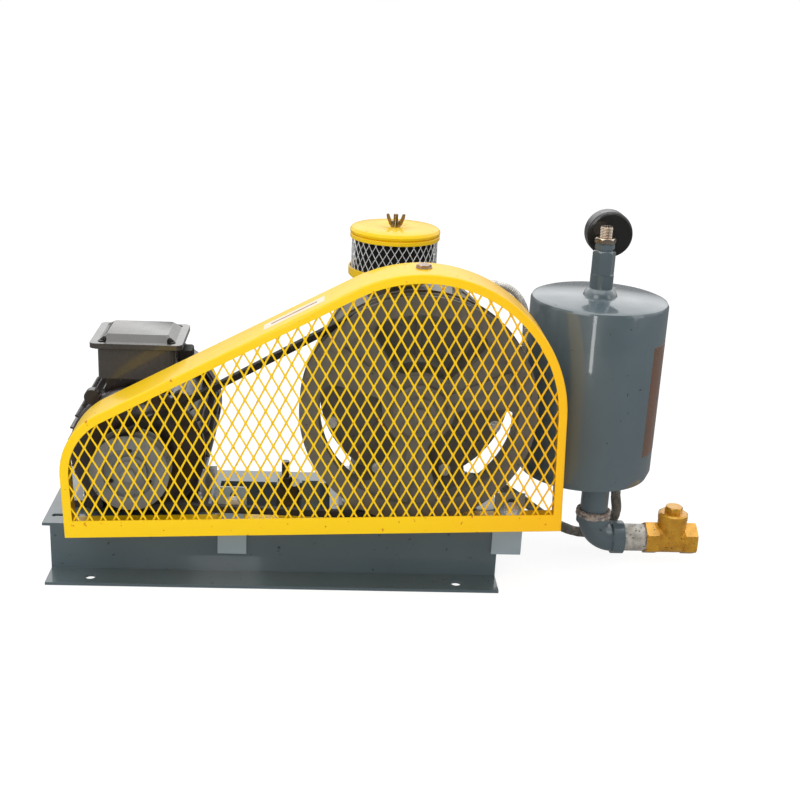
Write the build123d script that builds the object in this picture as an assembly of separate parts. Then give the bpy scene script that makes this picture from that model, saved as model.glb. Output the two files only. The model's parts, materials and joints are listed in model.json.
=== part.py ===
"""Belt-driven rotary vane blower set: motor, belt drive, blower, filter, oil tank and fittings.

Frame: millimetres, +X towards the tank, +Y away from the belt guard, +Z up.
Origin: on the floor, in the middle of the four floor holes of the base.
"""
from build123d import *
from math import asin, atan2, cos, degrees, hypot, pi, radians, sin, tan
import os

# ---------------------------------------------------------------- driving dimensions
BASE_LENGTH = 590.0      # folded base, along X
BASE_WIDTH = 194.0       # outside of its two webs, along Y
DECK_Z = 68.0            # height of the deck's top face
PLATE = 4.0              # base plate thickness
FLANGE = 43.0            # width of each floor flange
DECK_OVERHANG = 10.0     # deck past each end of the webs

MOTOR_X = -184.0         # motor axis
SHAFT_HEIGHT = 90.0      # motor axis above the deck
BLOWER_X = 177.0         # blower axis
BLOWER_HEIGHT = 182.0    # blower axis above the deck
BLOWER_R = 125.0         # blower casing
SMALL_PULLEY_R = 50.0
BIG_PULLEY_R = 150.0

GUARD_DEPTH = 65.0       # depth of the belt guard's hood
BRACKET_PLATE = 3.0      # plates between the front web and the guard
GUARD_TILT = 2.2         # the guard hangs turned by this angle, as it is set by its slots
GUARD_LEFT = -262.0
GUARD_BOTTOM = 90.4

TANK_X = 422.0
TANK_R = 92.0
TANK_BOTTOM = 122.0
TANK_TOP = 372.0
OUTLET_Z = 34.0          # axis of the outlet pipe, elbow and check valve
OUTLET_Y = -30.0
PIPE_R = 19.0            # outside of the 1 inch outlet line
FILTER_X = 146.0
FILTER_Y = 30.0
FILTER_R = 56.0

# ---------------------------------------------------------------- fits and derived places
RUN = 0.05               # radial running clearance
MOTOR_Z = DECK_Z + SHAFT_HEIGHT
BLOWER_Z = DECK_Z + BLOWER_HEIGHT
WEB_Y = BASE_WIDTH / 2
HALF_BASE = BASE_LENGTH / 2
GUARD_FRONT = -WEB_Y - BRACKET_PLATE - GUARD_DEPTH    # front face of the belt guard, along Y
PULLEY_FRONT = GUARD_FRONT + 25.0
GROOVE_PITCH = 15.0
GROOVE_EDGE = 10.0
PULLEY_WIDTH = 2 * GROOVE_EDGE + GROOVE_PITCH
PULLEY_BACK = PULLEY_FRONT + PULLEY_WIDTH
BELT_Y = PULLEY_FRONT + GROOVE_EDGE
MOTOR_FRONT = PULLEY_BACK + 27.0
MOTOR_BACK = MOTOR_FRONT + 208.0
FOOT_HOLES_X = (MOTOR_X - 70.0, MOTOR_X + 70.0)
FOOT_HOLES_Y = (MOTOR_FRONT + 49.0, MOTOR_FRONT + 149.0)
CASE_FRONT = -60.0
CASE_BACK = 100.0
COVER = 10.0
BLOWER_TOP = BLOWER_Z + BLOWER_R
OUTLET_X = TANK_X + 15.0


# ---------------------------------------------------------------- shape helpers
def box(x0, x1, y0, y1, z0, z1):
    """Box between two corners."""
    return Pos((x0 + x1) / 2, (y0 + y1) / 2, (z0 + z1) / 2) * Box(x1 - x0, y1 - y0, z1 - z0)


def cyl_x(y, z, r, x0, x1):
    """Cylinder along X."""
    return Pos((x0 + x1) / 2, y, z) * Rot(0, 90, 0) * Cylinder(r, x1 - x0)


def cyl_y(x, z, r, y0, y1):
    """Cylinder along Y."""
    return Pos(x, (y0 + y1) / 2, z) * Rot(90, 0, 0) * Cylinder(r, y1 - y0)


def cyl_z(x, y, r, z0, z1):
    """Cylinder along Z."""
    return Pos(x, y, (z0 + z1) / 2) * Cylinder(r, z1 - z0)


def hexagon(across_flats, height):
    """Hexagonal prism standing on the origin, with chamfered corners at its top."""
    prism = extrude(RegularPolygon(across_flats / 2, 6, major_radius=False), height)
    point = Cone(across_flats * 0.5 + height, across_flats * 0.485, height,
                 align=(Align.CENTER, Align.CENTER, Align.MIN))
    return prism & point


def turned_z(x, y, profile):
    """Solid of revolution about a Z axis; profile holds (radius, z) points."""
    return Pos(x, y, 0) * revolve(Plane.XZ * Polygon(*profile, align=None), Axis.Z)


def turned_y(x, z, profile):
    """Solid of revolution about a Y axis; profile holds (radius, y) points."""
    return Pos(x, 0, z) * revolve(Polygon(*profile, align=None), Axis.Y)


def turned_x(y, z, profile):
    """Solid of revolution about an X axis; profile holds (x, radius) points."""
    return Pos(0, y, z) * revolve(Polygon(*profile, align=None), Axis.X)


def polar(x, z, radius, angle):
    """Point on a circle in the XZ plane."""
    return x + radius * cos(radians(angle)), z + radius * sin(radians(angle))


def slot_z(x, y, length, width, z0, z1):
    """Slot along X cut between two heights."""
    return Pos(x, y, z0) * extrude(SlotOverall(length, width), z1 - z0)


def bolt_along_y(x, z, y_face, size, grip, towards=-1):
    """Hex bolt and washer whose head stands on a face across Y."""
    washer = 0.16 * size
    head = Rot(90, 0, 0) * hexagon(1.6 * size, 0.65 * size) if towards < 0 \
        else Rot(-90, 0, 0) * hexagon(1.6 * size, 0.65 * size)
    ring = cyl_y(0, 0, size, min(0, towards * washer), max(0, towards * washer))
    shank = cyl_y(0, 0, size / 2, min(0, -towards * grip), max(0, -towards * grip))
    return Pos(x, y_face, z) * (Pos(0, towards * washer, 0) * head + ring + shank)


def bolt_down(x, y, z_face, size, grip):
    """Hex bolt and washer whose head stands on a level face."""
    washer = 0.16 * size
    head = Pos(0, 0, washer) * hexagon(1.6 * size, 0.65 * size)
    return Pos(x, y, z_face) * (head + cyl_z(0, 0, size, 0, washer) + cyl_z(0, 0, size / 2, -grip, 0))


def nut_up(x, y, z_face, size):
    """Hex nut under a level face, bored for its bolt."""
    nut = Pos(x, y, z_face) * Rot(180, 0, 0) * hexagon(1.6 * size, 0.8 * size)
    return nut - cyl_z(x, y, size / 2, z_face - size, z_face)


# ---------------------------------------------------------------- base
DECK_WINDOW = (-85.0, 70.0, -57.0, 57.0)
FLOOR_HOLE_X = HALF_BASE - 55.0
FLOOR_HOLE_Y = WEB_Y + 24.0
FLOOR_HOLE_R = 7.0
POST_TOP = 120.0
LEFT_BRACKET = (-77.0, -39.0)
RIGHT_BRACKET = (HALF_BASE - 8.0, HALF_BASE + 32.0)
BLOWER_BOLTS = [(BLOWER_X + sx * 80.0, y) for sx in (-1, 1) for y in (-30.0, 70.0)]


def make_base():
    """Folded base: deck with its window and slots, two webs, two floor flanges, welded posts."""
    half = HALF_BASE
    deck = box(-half - DECK_OVERHANG, half + DECK_OVERHANG, -WEB_Y, WEB_Y, DECK_Z - PLATE, DECK_Z)
    deck -= box(*DECK_WINDOW, DECK_Z - PLATE, DECK_Z)
    for x in FOOT_HOLES_X:
        for y in FOOT_HOLES_Y:
            deck -= slot_z(x, y, 34.0, 11.0, DECK_Z - PLATE, DECK_Z)
    for y in (-72.0, 72.0):
        deck -= slot_z(-half + 16.0, y, 36.0, 9.0, DECK_Z - PLATE, DECK_Z)
    for x, y in BLOWER_BOLTS:
        deck -= cyl_z(x, y, 5.0, DECK_Z - PLATE, DECK_Z)
    frame = deck
    for side in (-1, 1):
        inner, outer, edge = sorted_pair(side, WEB_Y - PLATE, WEB_Y, WEB_Y + FLANGE)
        frame += box(-half, half, *sorted((inner, outer)), 0, DECK_Z - PLATE)
        flange = box(-half, half, *sorted((outer, edge)), 0, PLATE)
        for x in (-FLOOR_HOLE_X, FLOOR_HOLE_X):
            flange -= cyl_z(x, side * FLOOR_HOLE_Y, FLOOR_HOLE_R, 0, PLATE)
        frame += flange
    for (x0, x1), middle in zip((LEFT_BRACKET, RIGHT_BRACKET), GUARD_BOLT_X):
        post = box(x0 + 4, x1 - 4, -WEB_Y, -WEB_Y + PLATE, DECK_Z, POST_TOP)
        post += box(x0 + 4, x1 - 4, -WEB_Y, -WEB_Y + 30, DECK_Z, DECK_Z + PLATE)
        frame += post - cyl_y(middle, GUARD_BOLT_Z, 5.0, -WEB_Y, -WEB_Y + PLATE)
    return frame + box(32, 56, -82, -78, DECK_Z, DECK_Z + 62)


def sorted_pair(side, *distances):
    """The same distances on one side of the centre plane."""
    return [side * distance for distance in distances]


# ---------------------------------------------------------------- belt guard
GUARD_PIVOT = (50.0, GUARD_BOTTOM)
GUARD_SHEET = 1.5
GUARD_RIM = 11.0         # lip round the grille
GUARD_SILL = 23.6        # taller lip along the bottom
GUARD_GAP = 32.5         # between the big pulley and the guard's hood
GUARD_CORNER = 90.0      # round over the motor pulley
GUARD_SLOPE = 26.2       # climb of the hood, in the guard's own frame
GUARD_BOLT_Z = 104.0
GUARD_BOLT_X = [(x0 + x1) / 2 + 2 for x0, x1 in (LEFT_BRACKET, RIGHT_BRACKET)]
DIAMOND = (17.0, 31.0)   # pitch of the grille
STRAND = 2.3


def into_guard(x, z):
    """A place in the XZ plane, as the guard's own untilted frame has it."""
    dx = x - GUARD_PIVOT[0]
    dz = z - GUARD_PIVOT[1]
    c = cos(radians(GUARD_TILT))
    s = sin(radians(GUARD_TILT))
    return GUARD_PIVOT[0] + dx * c + dz * s, GUARD_PIVOT[1] - dx * s + dz * c


def hang(shape):
    """Turn a guard piece from its own frame to the way the guard hangs."""
    px, pz = GUARD_PIVOT
    return Pos(px, 0, pz) * Rot(0, -GUARD_TILT, 0) * Pos(-px, 0, -pz) * shape


HOOD_X, HOOD_Z = into_guard(BLOWER_X, BLOWER_Z)
HOOD_R = BIG_PULLEY_R + GUARD_GAP


def guard_outline(inset):
    """Face in the XZ plane inside the guard's outline, drawn in by an inset all round."""
    left = GUARD_LEFT + inset
    bottom = GUARD_BOTTOM + inset
    radius = HOOD_R - inset
    right = HOOD_X + radius
    slope = radians(GUARD_SLOPE)
    crest = (HOOD_X - radius * sin(slope), HOOD_Z + radius * cos(slope))
    peak = crest[1] - (crest[0] - left) * tan(slope)
    corner = GUARD_CORNER - inset
    run = corner * tan((pi / 2 - slope) / 2)
    knee = (left, peak - run)
    shoulder = (left + run * cos(slope), peak + run * sin(slope))
    edges = [Line((left, bottom), knee),
             TangentArc(knee, shoulder, tangent=(0, 1)),
             Line(shoulder, crest),
             TangentArc(crest, (right, HOOD_Z), tangent=(cos(slope), sin(slope))),
             Line((right, HOOD_Z), (right, bottom)),
             Line((right, bottom), (left, bottom))]
    return make_face(Wire(edges))


def guard_slab(inset, y0, y1):
    """Solid with the guard's outline, drawn in by an inset, between two Y planes."""
    return extrude(Plane.XZ.offset(-y0) * guard_outline(inset), -(y1 - y0))


def make_guard_frame():
    """Bent sheet hood with its front lip, open to the back."""
    back = GUARD_FRONT + GUARD_DEPTH
    band = guard_slab(0, GUARD_FRONT, back) - guard_slab(GUARD_SHEET, GUARD_FRONT, back)
    lip = guard_slab(0.5, GUARD_FRONT, GUARD_FRONT + GUARD_SHEET)
    window = guard_slab(GUARD_RIM, GUARD_FRONT, GUARD_FRONT + GUARD_SHEET)
    window -= box(-400, 500, GUARD_FRONT, GUARD_FRONT + GUARD_SHEET, 0, GUARD_BOTTOM + GUARD_SILL)
    frame = band + (lip - window)
    for x in GUARD_BOLT_X:
        frame -= box(x - 14, x + 14, back - 18, back, GUARD_BOTTOM - 10, GUARD_BOTTOM + 20)
    return hang(frame - cyl_z(HOOD_X + 4, GUARD_FRONT + 36, 4.0, HOOD_Z, HOOD_Z + HOOD_R + 5))


def make_guard_grille():
    """Diamond grille: two layers of flat strands that cross, behind the front lip."""
    strands = []
    pitch_x, pitch_z = DIAMOND
    lean = degrees(atan2(pitch_x, pitch_z))
    width = HOOD_X + HOOD_R - GUARD_LEFT
    height = HOOD_Z + HOOD_R - GUARD_BOTTOM
    reach = height / 2 / cos(radians(lean)) + 20
    middle_z = GUARD_BOTTOM + height / 2
    count = int((width + height * pitch_x / pitch_z) / pitch_x)
    layers = ((1, GUARD_FRONT + GUARD_SHEET), (-1, GUARD_FRONT + GUARD_SHEET + 1))
    for side, y0 in layers:
        panel = guard_slab(5.0, y0, y0 + 1)
        for index in range(count + 1):
            x = GUARD_LEFT + width / 2 + (index - count / 2) * pitch_x
            bar = Pos(x, y0 + 0.5, middle_z) * Rot(0, side * lean, 0) * Box(STRAND, 1, 2 * reach)
            strands += [piece for piece in (bar & panel).solids() if piece.volume > 20]
    return hang(Compound(strands))


def make_guard_brackets():
    """Two slotted plates on the front web that carry the guard."""
    plates = []
    for (x0, x1), foot, middle in zip((LEFT_BRACKET, RIGHT_BRACKET), (30.0, 37.0), GUARD_BOLT_X):
        back = -WEB_Y
        front = GUARD_FRONT + GUARD_DEPTH
        plate = box(x0, x1, front, back, foot, POST_TOP + 6)
        slot = box(middle - 5, middle + 5, front, back, GUARD_BOLT_Z - 10, GUARD_BOLT_Z + 10)
        for end in (-10, 10):
            slot += cyl_y(middle, GUARD_BOLT_Z + end, 5.0, front, back)
        plates.append(plate - slot)
    return Compound(plates)


def make_guard_bolts():
    """Bolts with nuts in the bracket slots, and the one on top of the hood."""
    solids = []
    for x in GUARD_BOLT_X:
        face = GUARD_FRONT + GUARD_DEPTH
        solids.append(bolt_along_y(x, GUARD_BOLT_Z, face, 10.0, 20.0))
        nut = Pos(x, -WEB_Y + PLATE, GUARD_BOLT_Z) * Rot(-90, 0, 0) * hexagon(16, 8)
        solids.append(nut - cyl_y(x, GUARD_BOLT_Z, 5.0, -WEB_Y, -WEB_Y + 20))
    top = HOOD_Z + HOOD_R + 0.5
    crown = bolt_down(HOOD_X + 4, GUARD_FRONT + 36, top, 8.0, 16.0)
    seat = cyl_z(HOOD_X + 4, GUARD_FRONT + 36, 8.0, top - 2, top)
    seat -= cyl_y(HOOD_X, HOOD_Z, HOOD_R, GUARD_FRONT, -WEB_Y)
    solids.append(hang(crown + seat))
    return Compound(solids)


# ---------------------------------------------------------------- motor
FRAME_R = 80.0
FIN_R = 93.0
FIN_COUNT = 32
BOX_TOP = 296.0
SHAFT_R = 12.0
BEARING_R = 26.0
FRAME_FRONT = MOTOR_FRONT + 22.0
FRAME_BACK = MOTOR_BACK - 18.0
TERMINAL = (MOTOR_X - 50, MOTOR_X + 50, -58.0, 33.0)


def make_motor_frame():
    """Finned stator frame with cast feet and the neck under the terminal box."""
    body = cyl_y(MOTOR_X, MOTOR_Z, FRAME_R, FRAME_FRONT, FRAME_BACK)
    middle = (FRAME_FRONT + FRAME_BACK) / 2
    length = FRAME_BACK - FRAME_FRONT - 8
    for index in range(FIN_COUNT):
        angle = 360 * (index + 0.5) / FIN_COUNT
        if 205 < angle < 335 or 62 < angle < 118:
            continue
        fin = Pos((FRAME_R + FIN_R) / 2 - 1, 0, 0) * Box(FIN_R - FRAME_R + 2, length, 2.6)
        body += Pos(MOTOR_X, middle, MOTOR_Z) * Rot(0, -angle, 0) * fin
    for side in (-1, 1):
        x = MOTOR_X + side * 70
        foot = box(x - 20, x + 20, FOOT_HOLES_Y[0] - 17, FOOT_HOLES_Y[1] + 17, DECK_Z, DECK_Z + 10)
        leg = box(*sorted((x - side * 22, x + side * 6)), FOOT_HOLES_Y[0] - 12, FOOT_HOLES_Y[1] + 12,
                  DECK_Z + 9, MOTOR_Z - 32)
        for y in FOOT_HOLES_Y:
            foot -= cyl_z(x, y, 5.0, DECK_Z, DECK_Z + 10)
            leg -= box(x - 10.5, x + 10.5, y - 11, y + 11, DECK_Z + 9, DECK_Z + 32)
        body += foot + leg
    x0, x1, y0, y1 = TERMINAL
    body += box(x0 + 9, x1 - 9, y0 + 10, y1 - 10, MOTOR_Z + FRAME_R - 12, 256)
    return body - cyl_y(MOTOR_X, MOTOR_Z, STATOR_R, FRAME_FRONT, FRAME_BACK)


STATOR_R = 70.0


def make_motor_front_shield():
    """Drive-end shield: dished plate with four bolt lugs and the front bearing seat."""
    seat = BEARING_R
    profile = [(seat, MOTOR_FRONT + 4), (38, MOTOR_FRONT), (60, MOTOR_FRONT + 4), (84, MOTOR_FRONT + 10),
               (88, MOTOR_FRONT + 14), (88, FRAME_FRONT), (78, FRAME_FRONT), (70, FRAME_FRONT - 6),
               (40, FRAME_FRONT - 6), (36, FRAME_FRONT), (seat, FRAME_FRONT)]
    shield = turned_y(MOTOR_X, MOTOR_Z, profile)
    for angle in (53, 127, 233, 307):
        x, z = polar(MOTOR_X, MOTOR_Z, 94, angle)
        shield += cyl_y(x, z, 10.0, MOTOR_FRONT + 10, FRAME_FRONT)
    return shield


def make_motor_rear_shield():
    """Fan-end shield with the rear bearing seat."""
    profile = [(BEARING_R, FRAME_BACK), (36, FRAME_BACK), (40, FRAME_BACK + 4), (68, FRAME_BACK + 4),
               (76, FRAME_BACK), (90, FRAME_BACK), (90, FRAME_BACK + 9), (40, FRAME_BACK + 14),
               (BEARING_R, FRAME_BACK + 14)]
    return turned_y(MOTOR_X, MOTOR_Z, profile)


def make_motor_bearings():
    """Front and rear ball bearings, each as one ring."""
    rings = []
    for y0 in (MOTOR_FRONT + 6, FRAME_BACK):
        ring = cyl_y(MOTOR_X, MOTOR_Z, BEARING_R, y0, y0 + 14)
        rings.append(ring - cyl_y(MOTOR_X, MOTOR_Z, SHAFT_R + RUN, y0, y0 + 14))
    return Compound(rings)


def make_stator():
    """Laminated stator core, pressed in the frame."""
    y0, y1 = FRAME_FRONT + 28, FRAME_BACK - 28
    return cyl_y(MOTOR_X, MOTOR_Z, STATOR_R, y0, y1) - cyl_y(MOTOR_X, MOTOR_Z, 44.0, y0, y1)


def make_fan_cover():
    """Sheet cowl over the cooling fan, slotted at the back."""
    y0 = FRAME_BACK + 9
    y1 = MOTOR_BACK + 34
    cowl = turned_y(MOTOR_X, MOTOR_Z, [(0, y1), (82, y1), (92, y1 - 10), (92, y0), (90.5, y0),
                                      (90.5, y1 - 10.6), (81.4, y1 - 1.5), (0, y1 - 1.5)])
    for row in range(-4, 5):
        half = (70 ** 2 - (row * 14) ** 2) ** 0.5
        cowl -= box(MOTOR_X - half, MOTOR_X + half, y1 - 1.5, y1, MOTOR_Z + row * 14 - 3, MOTOR_Z + row * 14 + 3)
    return cowl + (cyl_y(MOTOR_X, MOTOR_Z, 90.5, y0, y0 + 3) - cyl_y(MOTOR_X, MOTOR_Z, 84, y0, y0 + 3)
                   - turned_y(MOTOR_X, MOTOR_Z, [(0, y0 - 20), (40, FRAME_BACK + 14), (90, FRAME_BACK + 9),
                                                (90, y0 - 20)]))


def make_terminal_box():
    """Open-topped terminal box on the motor's neck, with a boss for the cable gland."""
    x0, x1, y0, y1 = TERMINAL
    shell = box(x0, x1, y0, y1, 256, BOX_TOP) - box(x0 + 3, x1 - 3, y0 + 3, y1 - 3, 259, BOX_TOP)
    for x in (x0 + 6, x1 - 6):
        for y in (y0 + 6, y1 - 6):
            shell += cyl_z(x, y, 5.0, 258, BOX_TOP)
            shell -= cyl_z(x, y, 2.0, BOX_TOP - 14, BOX_TOP)
    return shell - cyl_x(GLAND_Y, GLAND_Z, 10.0, x1 - 4, x1)


GLAND_Y = -12.0
GLAND_Z = 280.0


def make_terminal_gasket():
    """Flat rubber gasket under the lid."""
    x0, x1, y0, y1 = TERMINAL
    ring = box(x0 - 2, x1 + 2, y0 - 2, y1 + 2, BOX_TOP, BOX_TOP + 1.5)
    ring -= box(x0 + 12, x1 - 12, y0 + 12, y1 - 12, BOX_TOP, BOX_TOP + 1.5)
    for x in (x0 + 6, x1 - 6):
        for y in (y0 + 6, y1 - 6):
            ring -= cyl_z(x, y, 2.0, BOX_TOP, BOX_TOP + 1.5)
    return ring


LID_Z = BOX_TOP + 1.5


def make_terminal_lid():
    """Wide lid with a raised, tapered top."""
    x0, x1, y0, y1 = TERMINAL
    middle = Pos((x0 + x1) / 2, (y0 + y1) / 2, 0)
    plate = fillet(box(x0 - 9, x1 + 9, y0 - 6, y1 + 6, LID_Z, LID_Z + 7).edges().filter_by(Axis.Z), 8)
    rise = loft([middle * Pos(0, 0, LID_Z + 7) * RectangleRounded(x1 - x0 - 2, y1 - y0 - 6, 5),
                 middle * Pos(0, 0, LID_Z + 15) * RectangleRounded(x1 - x0 - 22, y1 - y0 - 26, 4)])
    lid = plate + rise
    for x in (x0 + 6, x1 - 6):
        for y in (y0 + 6, y1 - 6):
            lid -= cyl_z(x, y, 5.5, LID_Z + 4, LID_Z + 20)
            lid -= cyl_z(x, y, 2.0, LID_Z, LID_Z + 4)
    return lid


def make_lid_screws():
    """Four round-headed lid screws."""
    x0, x1, y0, y1 = TERMINAL
    screws = []
    for x in (x0 + 6, x1 - 6):
        for y in (y0 + 6, y1 - 6):
            head = cyl_z(x, y, 4.2, LID_Z + 4, LID_Z + 8) - box(x - 4, x + 4, y - 0.6, y + 0.6, LID_Z + 7, LID_Z + 8)
            screws.append(head + cyl_z(x, y, 2.0, LID_Z - 12, LID_Z + 4))
    return Compound(screws)


def make_cable_gland():
    """Hexagonal cable gland on the box's side, bored for its cable."""
    x1 = TERMINAL[1]
    body = Pos(x1, GLAND_Y, GLAND_Z) * Rot(0, 90, 0) * hexagon(24, 8)
    body += cyl_x(GLAND_Y, GLAND_Z, 10.0, x1 - 3, x1)
    body += Pos(x1 + 8, GLAND_Y, GLAND_Z) * Rot(0, 90, 0) * hexagon(20, 10)
    return body - cyl_x(GLAND_Y, GLAND_Z, 6.0, x1 - 3, x1 + 18)


def make_motor_foot_bolts():
    """Foot bolts through the motor's feet and the deck's slots, with washers and nuts."""
    solids = []
    for x in FOOT_HOLES_X:
        for y in FOOT_HOLES_Y:
            solids.append(bolt_down(x, y, DECK_Z + 10, 10.0, 30.0))
            under = DECK_Z - PLATE
            plate = cyl_z(x, y, 12, under - 2, under) - cyl_z(x, y, 5.0, under - 2, under)
            solids += [plate, nut_up(x, y, under - 2, 10.0)]
    return Compound(solids)


def make_motor_shaft():
    """Shaft from the pulley's face to the cooling fan."""
    shaft = cyl_y(MOTOR_X, MOTOR_Z, SHAFT_R, PULLEY_FRONT + 6, MOTOR_BACK + 20)
    shaft += cyl_y(MOTOR_X, MOTOR_Z, 15.0, MOTOR_FRONT + 21, FRAME_BACK - 1)
    return shaft


def make_motor_rotor():
    """Squirrel-cage rotor core with its end rings."""
    y0, y1 = FRAME_FRONT + 28, FRAME_BACK - 28
    core = cyl_y(MOTOR_X, MOTOR_Z, 43.5, y0, y1)
    core += cyl_y(MOTOR_X, MOTOR_Z, 38, y0 - 10, y1 + 10)
    return core - cyl_y(MOTOR_X, MOTOR_Z, 15.0, y0 - 10, y1 + 10)


def make_cooling_fan():
    """Moulded fan behind the rear shield, with straight blades."""
    y0 = MOTOR_BACK + 4
    hub = cyl_y(MOTOR_X, MOTOR_Z, 20, y0, y0 + 14) + cyl_y(MOTOR_X, MOTOR_Z, 70, y0 + 14, y0 + 17)
    for index in range(8):
        blade = Pos(45, 0, 0) * Box(52, 15, 2.5)
        hub += Pos(MOTOR_X, y0 + 7.5, MOTOR_Z) * Rot(0, index * 45, 0) * blade
    return hub - cyl_y(MOTOR_X, MOTOR_Z, SHAFT_R, y0, y0 + 17)


# ---------------------------------------------------------------- belt drive
GROOVE_TOP = 6.58        # half width of a groove at the rim
GROOVE_DEPTH = 11.5
GROOVE_ANGLE = 17.0      # half angle
BELT_TOP = 6.5
BELT_HEIGHT = 8.0


def grooved_rim(x, z, outer, inner):
    """Pulley rim with two V-grooves."""
    floor = GROOVE_TOP - GROOVE_DEPTH * tan(radians(GROOVE_ANGLE))
    profile = [(inner, PULLEY_FRONT), (outer, PULLEY_FRONT)]
    for centre in (BELT_Y, BELT_Y + GROOVE_PITCH):
        profile += [(outer, centre - GROOVE_TOP), (outer - GROOVE_DEPTH, centre - floor),
                    (outer - GROOVE_DEPTH, centre + floor), (outer, centre + GROOVE_TOP)]
    profile += [(outer, PULLEY_BACK), (inner, PULLEY_BACK)]
    return turned_y(x, z, profile)


def kidney(inner, outer, half_angle, corner):
    """Opening between two spokes: a ring sector about the X axis with rounded corners."""
    ends = [radians(-half_angle), radians(half_angle)]
    low = [(inner * cos(a), inner * sin(a)) for a in ends]
    high = [(outer * cos(a), outer * sin(a)) for a in ends]
    edges = [ThreePointArc(low[0], (inner, 0), low[1]), Line(low[1], high[1]),
             ThreePointArc(high[1], (outer, 0), high[0]), Line(high[0], low[0])]
    face = make_face(Wire(edges))
    return fillet(face.vertices(), corner)


def make_big_pulley():
    """Cast pulley: grooved rim, stepped hub and three wide spokes left by kidney openings."""
    web_front = PULLEY_FRONT + 9
    web = cyl_y(BLOWER_X, BLOWER_Z, 128, web_front, web_front + 14)
    hub = turned_y(BLOWER_X, BLOWER_Z, [(0, PULLEY_FRONT - 2), (32, PULLEY_FRONT - 2), (35, PULLEY_FRONT + 1),
                                        (38, PULLEY_BACK + 12), (0, PULLEY_BACK + 12)])
    wheel = grooved_rim(BLOWER_X, BLOWER_Z, BIG_PULLEY_R, 126.0) + web + hub
    for centre in (83, 203, 323):
        cut = Plane.XZ * (Rot(0, 0, centre) * kidney(46, 124, 39, 15))
        wheel -= Pos(BLOWER_X, web_front + 15, BLOWER_Z) * extrude(cut, 16)
    for angle in (23, 143, 263):
        rib = Pos(79, 0, 0) * Box(92, 5, 12)
        wheel += Pos(BLOWER_X, web_front - 2, BLOWER_Z) * Rot(0, -angle, 0) * rib
    return wheel - cyl_y(BLOWER_X, BLOWER_Z, BLOWER_SHAFT_R, PULLEY_FRONT - 2, PULLEY_BACK + 12)


BLOWER_SHAFT_R = 16.0


def make_motor_pulley():
    """Small two-groove pulley with a recessed web and a hub."""
    rim = grooved_rim(MOTOR_X, MOTOR_Z, SMALL_PULLEY_R, 33.0)
    web = cyl_y(MOTOR_X, MOTOR_Z, 34, PULLEY_FRONT + 8, PULLEY_FRONT + 20)
    hub = cyl_y(MOTOR_X, MOTOR_Z, 22, PULLEY_FRONT + 2, PULLEY_BACK + 6)
    wheel = rim + web + hub
    for angle in (90, 210, 330):
        x, z = polar(MOTOR_X, MOTOR_Z, 27.5, angle)
        wheel -= cyl_y(x, z, 3.2, PULLEY_FRONT + 8, PULLEY_FRONT + 20)
    return wheel - cyl_y(MOTOR_X, MOTOR_Z, SHAFT_R, PULLEY_FRONT + 2, PULLEY_BACK + 6)


def end_screw(x, z, shaft_r, face, shaft_end):
    """Screw and thick washer that hold a pulley on its shaft."""
    washer = cyl_y(x, z, shaft_r + 5, face - 4, face)
    plug = cyl_y(x, z, shaft_r, face, shaft_end)
    head = Pos(x, face - 4, z) * Rot(90, 0, 0) * hexagon(17, 7)
    return washer + plug + head


def make_belt():
    """One V-belt in the front grooves: two arcs of the pulleys and the runs between them."""
    dx = BLOWER_X - MOTOR_X
    dz = BLOWER_Z - MOTOR_Z
    centres = degrees(atan2(dz, dx))
    wrap = degrees(asin((BIG_PULLEY_R - SMALL_PULLEY_R) / hypot(dx, dz)))
    foot = BELT_TOP - BELT_HEIGHT * tan(radians(GROOVE_ANGLE))
    upper = 90 + centres + wrap
    lower = centres - 90 - wrap

    def arc(x, z, radius, start, sweep):
        section = Polygon((radius, BELT_Y - BELT_TOP), (radius, BELT_Y + BELT_TOP),
                          (radius - BELT_HEIGHT, BELT_Y + foot), (radius - BELT_HEIGHT, BELT_Y - foot), align=None)
        return Pos(x, 0, z) * Rot(0, -start, 0) * revolve(section, Axis.Y, -sweep)

    def run(angle):
        x0, z0 = polar(MOTOR_X, MOTOR_Z, SMALL_PULLEY_R, angle)
        x1, z1 = polar(BLOWER_X, BLOWER_Z, BIG_PULLEY_R, angle)
        length = hypot(x1 - x0, z1 - z0)
        section = Polygon((0, BELT_Y - BELT_TOP), (0, BELT_Y + BELT_TOP),
                          (-BELT_HEIGHT, BELT_Y + foot), (-BELT_HEIGHT, BELT_Y - foot), align=None)
        side = 1 if angle < 0 else -1
        return Pos(x0, 0, z0) * Rot(0, -angle, 0) * extrude(section, side * length)

    small = arc(MOTOR_X, MOTOR_Z, SMALL_PULLEY_R, upper, 180 - 2 * wrap)
    large = arc(BLOWER_X, BLOWER_Z, BIG_PULLEY_R, lower, 180 + 2 * wrap)
    return small + large + run(upper) + run(lower)


# ---------------------------------------------------------------- blower
CASE_WALL = 15.5         # thinnest wall between the bore and the casing
BORE_DROP = 11.5         # the bore lies below the shaft, so the vanes pump
BORE_R = BLOWER_R - CASE_WALL - BORE_DROP
ROTOR_GAP = 0.5          # rotor to bore, where they come closest
ROTOR_R = BORE_R - BORE_DROP - ROTOR_GAP
COVER_CIRCLE = BLOWER_R - 8.0    # radius of the covers' bolt circle
PORT_Y = 40.0
PORT_Z = BLOWER_Z + 12.0
INLET_R = 20.0
BRACKET_X = BLOWER_X + BLOWER_R + 10.0    # bolts of the tank bracket, beside the casing
BRACKET_BOLTS_Z = (208.0, 232.0)


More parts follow.
